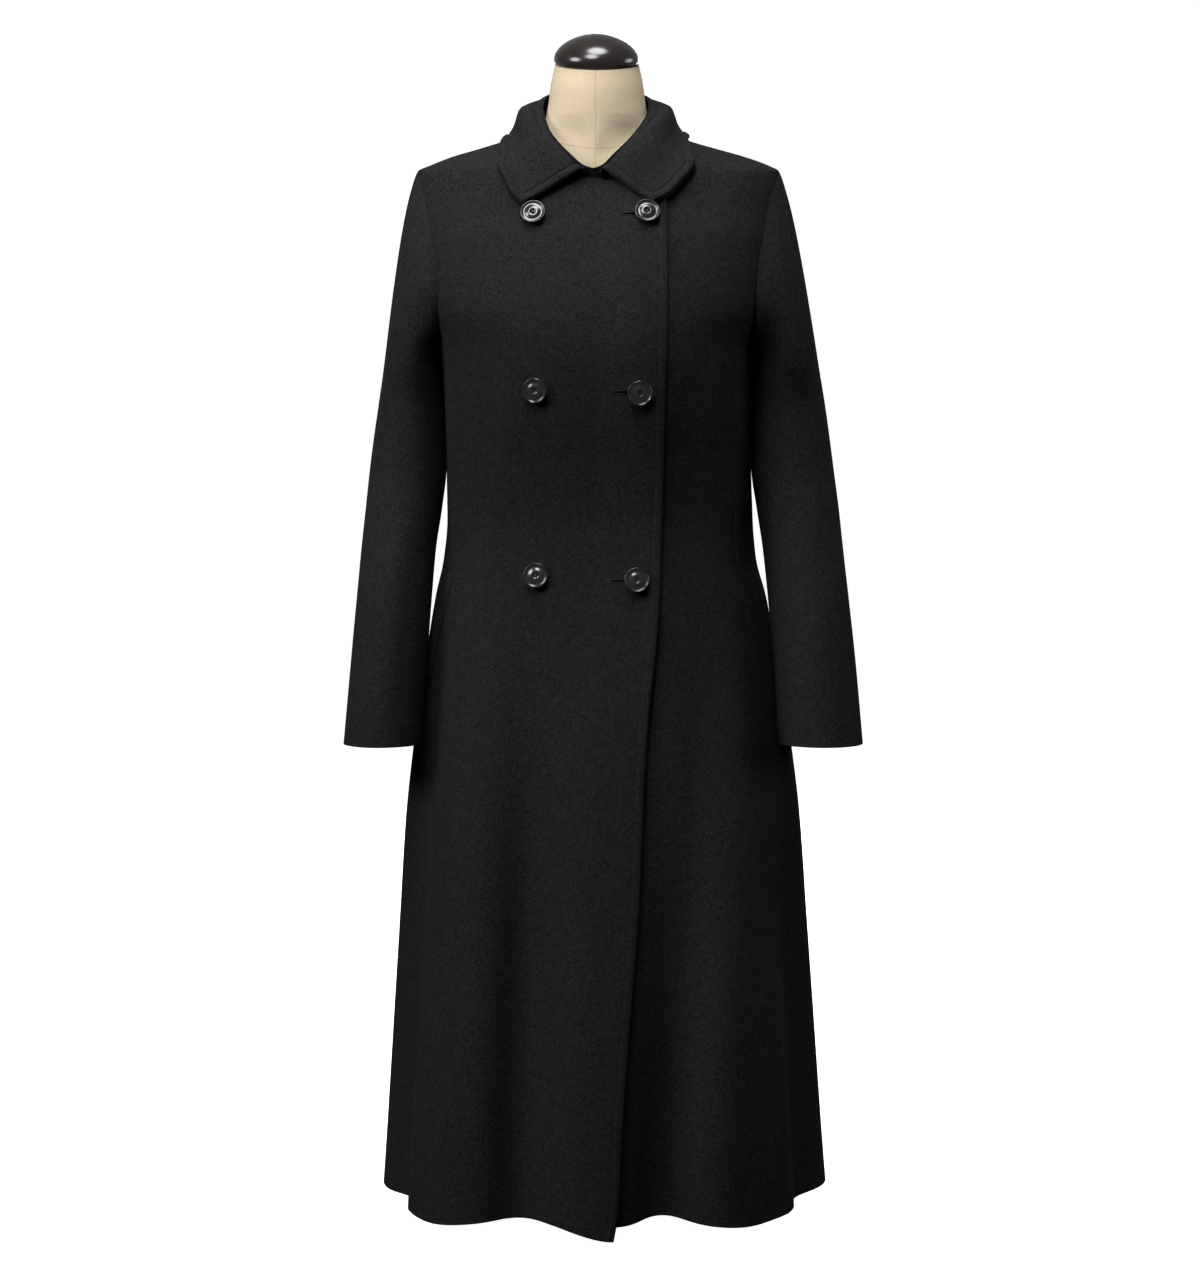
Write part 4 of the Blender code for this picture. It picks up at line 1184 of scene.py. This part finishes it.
def buttonhole(place, thread, slit_shade_finish):
    """Work a buttonhole from beside a button to under it: a near-black slit of painted shade and the
    threads along its edges.
    """
    height = place.height * MM
    first = (place.across - place.hole) * MM
    across = np.arange(first, place.across * MM + HOLE_RIGHT, THREAD_PITCH)
    half = np.linspace(HOLE_NARROW, HOLE_WIDE, len(across))
    number = place.name[-1]
    points, normals = on_front(across[:, None], height + half[:, None] * np.array((-1, 0, 1)))
    # The slit is a near-black sheet just over the cloth: painted shade in the opening
    slit = points + normals * SLIT_LIFT
    add_piece(f"buttonhole_slit_{number}", slit.reshape(-1, 3), grid_faces(*slit.shape[:2]), slit_shade_finish)
    seats = [np.stack((across, height + way * (half + THREAD_LENGTH / 2)), axis=-1) for way in (-1, 1)]
    bar = height + np.linspace(-BAR_HALF, BAR_HALF, BAR_THREADS)
    seats.append(np.stack((np.full(BAR_THREADS, first - THREAD_PITCH), bar), axis=-1))
    seats = np.concatenate(seats)
    points, normals = on_front(seats[:, 0], seats[:, 1])
    above, _ = on_front(seats[:, 0], seats[:, 1] + MM)
    beads(f"buttonhole_{number}", points + normals * THREAD_LIFT, unit(above - points), normals, thread)


def torso_ring(angles, height):
    """Return a ring of the torso, inside the cloth by its thickness and the ease."""
    turn = np.radians(angles)
    radius = section_radius(BODY_AT, angles, height)
    points = np.stack((radius * np.cos(turn), radius * np.sin(turn), 0 * turn + height), axis=-1)
    fade = 1 - smooth_step((height - FORM_RELIEF_TOP) / FORM_RELIEF_FADE)
    ease = EASE_AT(height) + FORM_RELIEF * fade * np.abs(np.sin(turn))
    points -= body_normals(places_of(angles, height)) * (CLOTH + ease)[:, None]
    points[:, 2] = np.maximum(points[:, 2], FORM_BOTTOM)
    return points


def neck_ring(angles, height):
    """Return a ring of the neck, tilted more towards its top."""
    turn = np.radians(angles)
    radius = section_radius(NECK_AT, angles, height)
    along = radius * np.sin(turn)
    tilt = NECK_TILT * along * smooth_step((height - NECK_BOTTOM) / (NECK_TOP - NECK_BOTTOM))
    return np.stack((radius * np.cos(turn), along, height + tilt), axis=-1)


def form(finish):
    """Make the torso and neck as one smooth solid."""
    angles = np.linspace(0, 360, FORM_SIDES, endpoint=False)
    rings = [torso_ring(angles, height) for height in np.linspace(FORM_BOTTOM, TORSO_TOP, TORSO_RINGS)]
    rings += [neck_ring(angles, height) for height in np.linspace(NECK_BOTTOM, NECK_TOP, NECK_RINGS)]
    piece = add_piece("form", np.concatenate(rings), ring_faces(len(rings), FORM_SIDES), finish)
    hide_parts("form")
    return piece


def form_cap(finish):
    """Make the domed neck cap, tilted with the neck's top."""
    axis = Vector((0, -NECK_TILT, 1)).normalized()
    seat = Vector((0, 0, NECK_TOP)) + axis * CAP_GAP
    profile = [(ring.out * CAP_RADIUS, ring.up * CAP_HEIGHT) for ring in CAP_RIM]
    rim = CAP_RIM[-1].up
    for share in CAP_DOME:
        turn = share * math.pi / 2
        up = rim + (1 - rim) * math.sin(turn) ** CAP_POWER
        profile.append((CAP_RADIUS * math.cos(turn) ** CAP_POWER, CAP_HEIGHT * up))
    piece = turned("form_cap", profile, seat, axis, FORM_SIDES, finish)
    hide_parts("form_cap")


# Finishes


def new_finish(name, colour, roughness):
    """Start a finish and return it with its nodes, links and shader."""
    material = bpy.data.materials.new(name)
    material.use_nodes = True
    nodes = material.node_tree.nodes
    shader = nodes["Principled BSDF"]
    shader.inputs["Base Color"].default_value = colour
    shader.inputs["Roughness"].default_value = roughness
    return material, nodes, material.node_tree.links, shader


def noise(nodes, links, scale, detail, stretch=(1, 1, 1)):
    """Add a noise in the object's own space."""
    place = nodes.new("ShaderNodeTexCoord")
    mapping = nodes.new("ShaderNodeMapping")
    mapping.inputs["Scale"].default_value = stretch
    texture = nodes.new("ShaderNodeTexNoise")
    texture.inputs["Scale"].default_value = scale
    texture.inputs["Detail"].default_value = detail
    links.new(place.outputs["Object"], mapping.inputs["Vector"])
    links.new(mapping.outputs["Vector"], texture.inputs["Vector"])
    return texture.outputs["Fac"]


def ramp(nodes, links, value, low, high):
    """Turn a value to a colour between two."""
    node = nodes.new("ShaderNodeValToRGB")
    node.color_ramp.elements[0].position = RAMP_LOW
    node.color_ramp.elements[1].position = RAMP_HIGH
    node.color_ramp.elements[0].color = low
    node.color_ramp.elements[1].color = high
    links.new(value, node.inputs["Fac"])
    return node.outputs["Color"]


def bump(nodes, links, value, distance, strength, below=None):
    """Add relief from a value, over any relief below it."""
    node = nodes.new("ShaderNodeBump")
    node.inputs["Distance"].default_value = distance
    node.inputs["Strength"].default_value = strength
    links.new(value, node.inputs["Height"])
    if below is not None:
        links.new(below, node.inputs["Normal"])
    return node.outputs["Normal"]


def math_node(nodes, links, operation, *values):
    """Add a step of arithmetic on values, each a link or a number."""
    node = nodes.new("ShaderNodeMath")
    node.operation = operation
    for socket, value in zip(node.inputs, values):
        if isinstance(value, (int, float)):
            socket.default_value = value
        else:
            links.new(value, socket)
    return node.outputs[0]


def wool_finish():
    """Make the black wool with curly lighter strands and a felted nap."""
    material, nodes, links, shader = new_finish("melton", WOOL_GROUND, WOOL_ROUGHNESS)
    felt = noise(nodes, links, FELT_SCALE, NOISE_DETAIL)
    felt.node.inputs["Distortion"].default_value = FELT_DISTORTION
    away = math_node(nodes, links, "ABSOLUTE", math_node(nodes, links, "SUBTRACT", felt, 0.5))
    strands = math_node(nodes, links, "MULTIPLY", away, STRAND_CONTRAST)
    links.new(ramp(nodes, links, strands, WOOL_STRAND, WOOL_GROUND), shader.inputs["Base Color"])
    matted = bump(nodes, links, felt, FELT_DEPTH, FELT_STRENGTH)
    fibre = noise(nodes, links, FIBRE_SCALE, FIBRE_DETAIL)
    links.new(bump(nodes, links, fibre, FIBRE_DEPTH, FIBRE_STRENGTH, matted), shader.inputs["Normal"])
    shader.inputs["Sheen Weight"].default_value = WOOL_SHEEN
    shader.inputs["Sheen Roughness"].default_value = WOOL_SHEEN_ROUGHNESS
    shader.inputs["Specular IOR Level"].default_value = 0
    return material


def gloss_finish(gloss):
    """Make a polished or plain finish with faint clouding."""
    material, nodes, links, shader = new_finish(gloss.name, gloss.low, gloss.roughness)
    clouds = noise(nodes, links, CLOUD_SCALE, NOISE_DETAIL)
    links.new(ramp(nodes, links, clouds, gloss.low, gloss.high), shader.inputs["Base Color"])
    shader.inputs["Specular IOR Level"].default_value = gloss.specular
    return material


def linen_seams(nodes, links):
    """Return 1 along the seam down the middle of the neck and the seam round its base."""
    place = nodes.new("ShaderNodeTexCoord")
    split = nodes.new("ShaderNodeSeparateXYZ")
    links.new(place.outputs["Object"], split.inputs["Vector"])
    x, y, z = split.outputs
    middle = math_node(nodes, links, "COMPARE", x, LINEN_SEAM_ACROSS, LINEN_SEAM_WIDTH)
    base = math_node(nodes, links, "ADD", z, math_node(nodes, links, "MULTIPLY", y, -LINEN_SEAM_SLOPE))
    around = math_node(nodes, links, "COMPARE", base, LINEN_SEAM_HEIGHT, LINEN_SEAM_WIDTH)
    return math_node(nodes, links, "MAXIMUM", middle, around)


def linen_finish():
    """Make the plain-woven linen of the dress form."""
    material, nodes, links, shader = new_finish("linen_weave", LINEN_LOW, LINEN_ROUGHNESS)
    across = noise(nodes, links, WEAVE_SCALE, NOISE_DETAIL, WEAVE_ACROSS)
    upward = noise(nodes, links, WEAVE_SCALE, NOISE_DETAIL, WEAVE_UPWARD)
    tinted = nodes.new("ShaderNodeMix")
    tinted.data_type = "RGBA"
    tinted.inputs[MIX_SECOND].default_value = LINEN_SEAM
    links.new(linen_seams(nodes, links), tinted.inputs[MIX_SHARE])
    links.new(ramp(nodes, links, across, LINEN_LOW, LINEN_HIGH), tinted.inputs[MIX_FIRST])
    links.new(tinted.outputs[MIX_RESULT], shader.inputs["Base Color"])
    woven = bump(nodes, links, across, WEAVE_DEPTH, WEAVE_STRENGTH)
    links.new(bump(nodes, links, upward, WEAVE_DEPTH, WEAVE_STRENGTH, woven), shader.inputs["Normal"])
    shader.inputs["Specular IOR Level"].default_value = 0
    return material


# Studio


def studio():
    """Make the white sweep, the soft lights and the camera."""
    scene = bpy.context.scene
    scene.view_settings.view_transform = "Standard"
    world = bpy.data.worlds.new("studio")
    world.use_nodes = True
    backdrop = world.node_tree.nodes["Background"]
    backdrop.inputs["Color"].default_value = (1, 1, 1, 1)
    backdrop.inputs["Strength"].default_value = SURROUNDING_GLOW
    world.cycles_visibility.diffuse = False
    scene.world = world
    white = white_finish()
    add_floor(white)
    add_backdrop(white)
    for light in LIGHTS:
        add_light(*light)
    add_camera()


def add_floor(white):
    """Make a white floor that runs into the backdrop."""
    half = FLOOR_SIZE / 2
    corners = [(-half, -half, 0), (half, -half, 0), (half, half, 0), (-half, half, 0)]
    mesh = bpy.data.meshes.new("floor")
    mesh.from_pydata(corners, [], [(0, 1, 2, 3)])
    add_stage("floor", mesh, white)


def add_backdrop(white):
    """Make a white dome round the floor."""
    shape = bmesh.new()
    bmesh.ops.create_icosphere(shape, subdivisions=4, radius=BACKDROP_RADIUS)
    mesh = bpy.data.meshes.new("backdrop")
    shape.to_mesh(mesh)
    shape.free()
    add_stage("backdrop", mesh, white)


def white_finish():
    """Make a white that glows for the camera."""
    material, _, _, shader = new_finish("white_sweep", SWEEP_WHITE, SWEEP_ROUGHNESS)
    shader.inputs["Emission Color"].default_value = (1, 1, 1, 1)
    shader.inputs["Emission Strength"].default_value = 1.0
    return material


def add_stage(name, mesh, finish):
    """Add a piece of the set, which neither lights the part nor shows in it."""
    mesh.materials.append(finish)
    piece = bpy.data.objects.new(name, mesh)
    piece.visible_diffuse = False
    piece.visible_glossy = False
    piece.visible_shadow = False
    bpy.context.scene.collection.objects.link(piece)


def add_light(name, place, target, size, power):
    """Add a soft round light that faces a point."""
    data = bpy.data.lights.new(name, "AREA")
    data.shape = "DISK"
    data.size = size
    data.energy = power
    light = bpy.data.objects.new(name, data)
    light.location = place
    light.rotation_euler = (Vector(target) - Vector(place)).to_track_quat("-Z", "Y").to_euler()
    bpy.context.scene.collection.objects.link(light)


def add_camera():
    data = bpy.data.cameras.new("camera")
    data.angle = CAMERA_FIELD
    camera = bpy.data.objects.new("camera", data)
    camera.location = CAMERA_PLACE
    camera.rotation_euler = (CAMERA_TARGET - CAMERA_PLACE).to_track_quat("-Z", "Y").to_euler()
    bpy.context.scene.collection.objects.link(camera)
    bpy.context.scene.camera = camera


def carried_finish(node, finish):
    """Give a CAD node that is shown as it is a finish of its own."""
    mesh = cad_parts[node].data
    mesh.materials.clear()
    mesh.materials.append(finish)


def coat_cloth(wool):
    """Make all pieces of cloth and return them by name."""
    right = front_places(-1, 0, FRONT_CORNER_DROP)
    left = front_places(1, OVERLAP, 0)
    cloth = {
        "front_right": cloth_panel("front_right", right, wool, top_layer, True),
        "front_left": cloth_panel("front_left", left, wool, under_layer),
        "back": cloth_panel("back", back_places(), wool),
    }
    for side, name in ((-1, "right"), (1, "left")):
        cloth[f"side_{name}"] = cloth_panel(f"side_{name}", side_places(side), wool)
        cloth[f"yoke_{name}"] = cloth_panel(f"yoke_{name}", yoke_places(side), wool)
        cloth[f"pocket_welt_{name}"] = pocket_welt(f"pocket_welt_{name}", side, wool)
        under, top = sleeve(side, name, wool)
        cloth[f"sleeve_{name}_under"] = under
        cloth[f"sleeve_{name}_top"] = top
    cloth["collar"] = collar_leaf(wool)
    cloth["collar_stand"] = collar_stand(wool)
    return cloth


def main():
    cloth = coat_cloth(wool_finish())
    resin, thread, slit_shade_finish, lacquer, enamel = (gloss_finish(gloss) for gloss in GLOSSES)
    buttons(resin)
    for place in BUTTONS:
        if place.hole:
            buttonhole(place, thread, slit_shade_finish)
    dress_form = form(linen_finish())
    form_cap(lacquer)
    carried_finish("form_pole", lacquer)
    carried_finish("form_base", enamel)
    studio()


main()
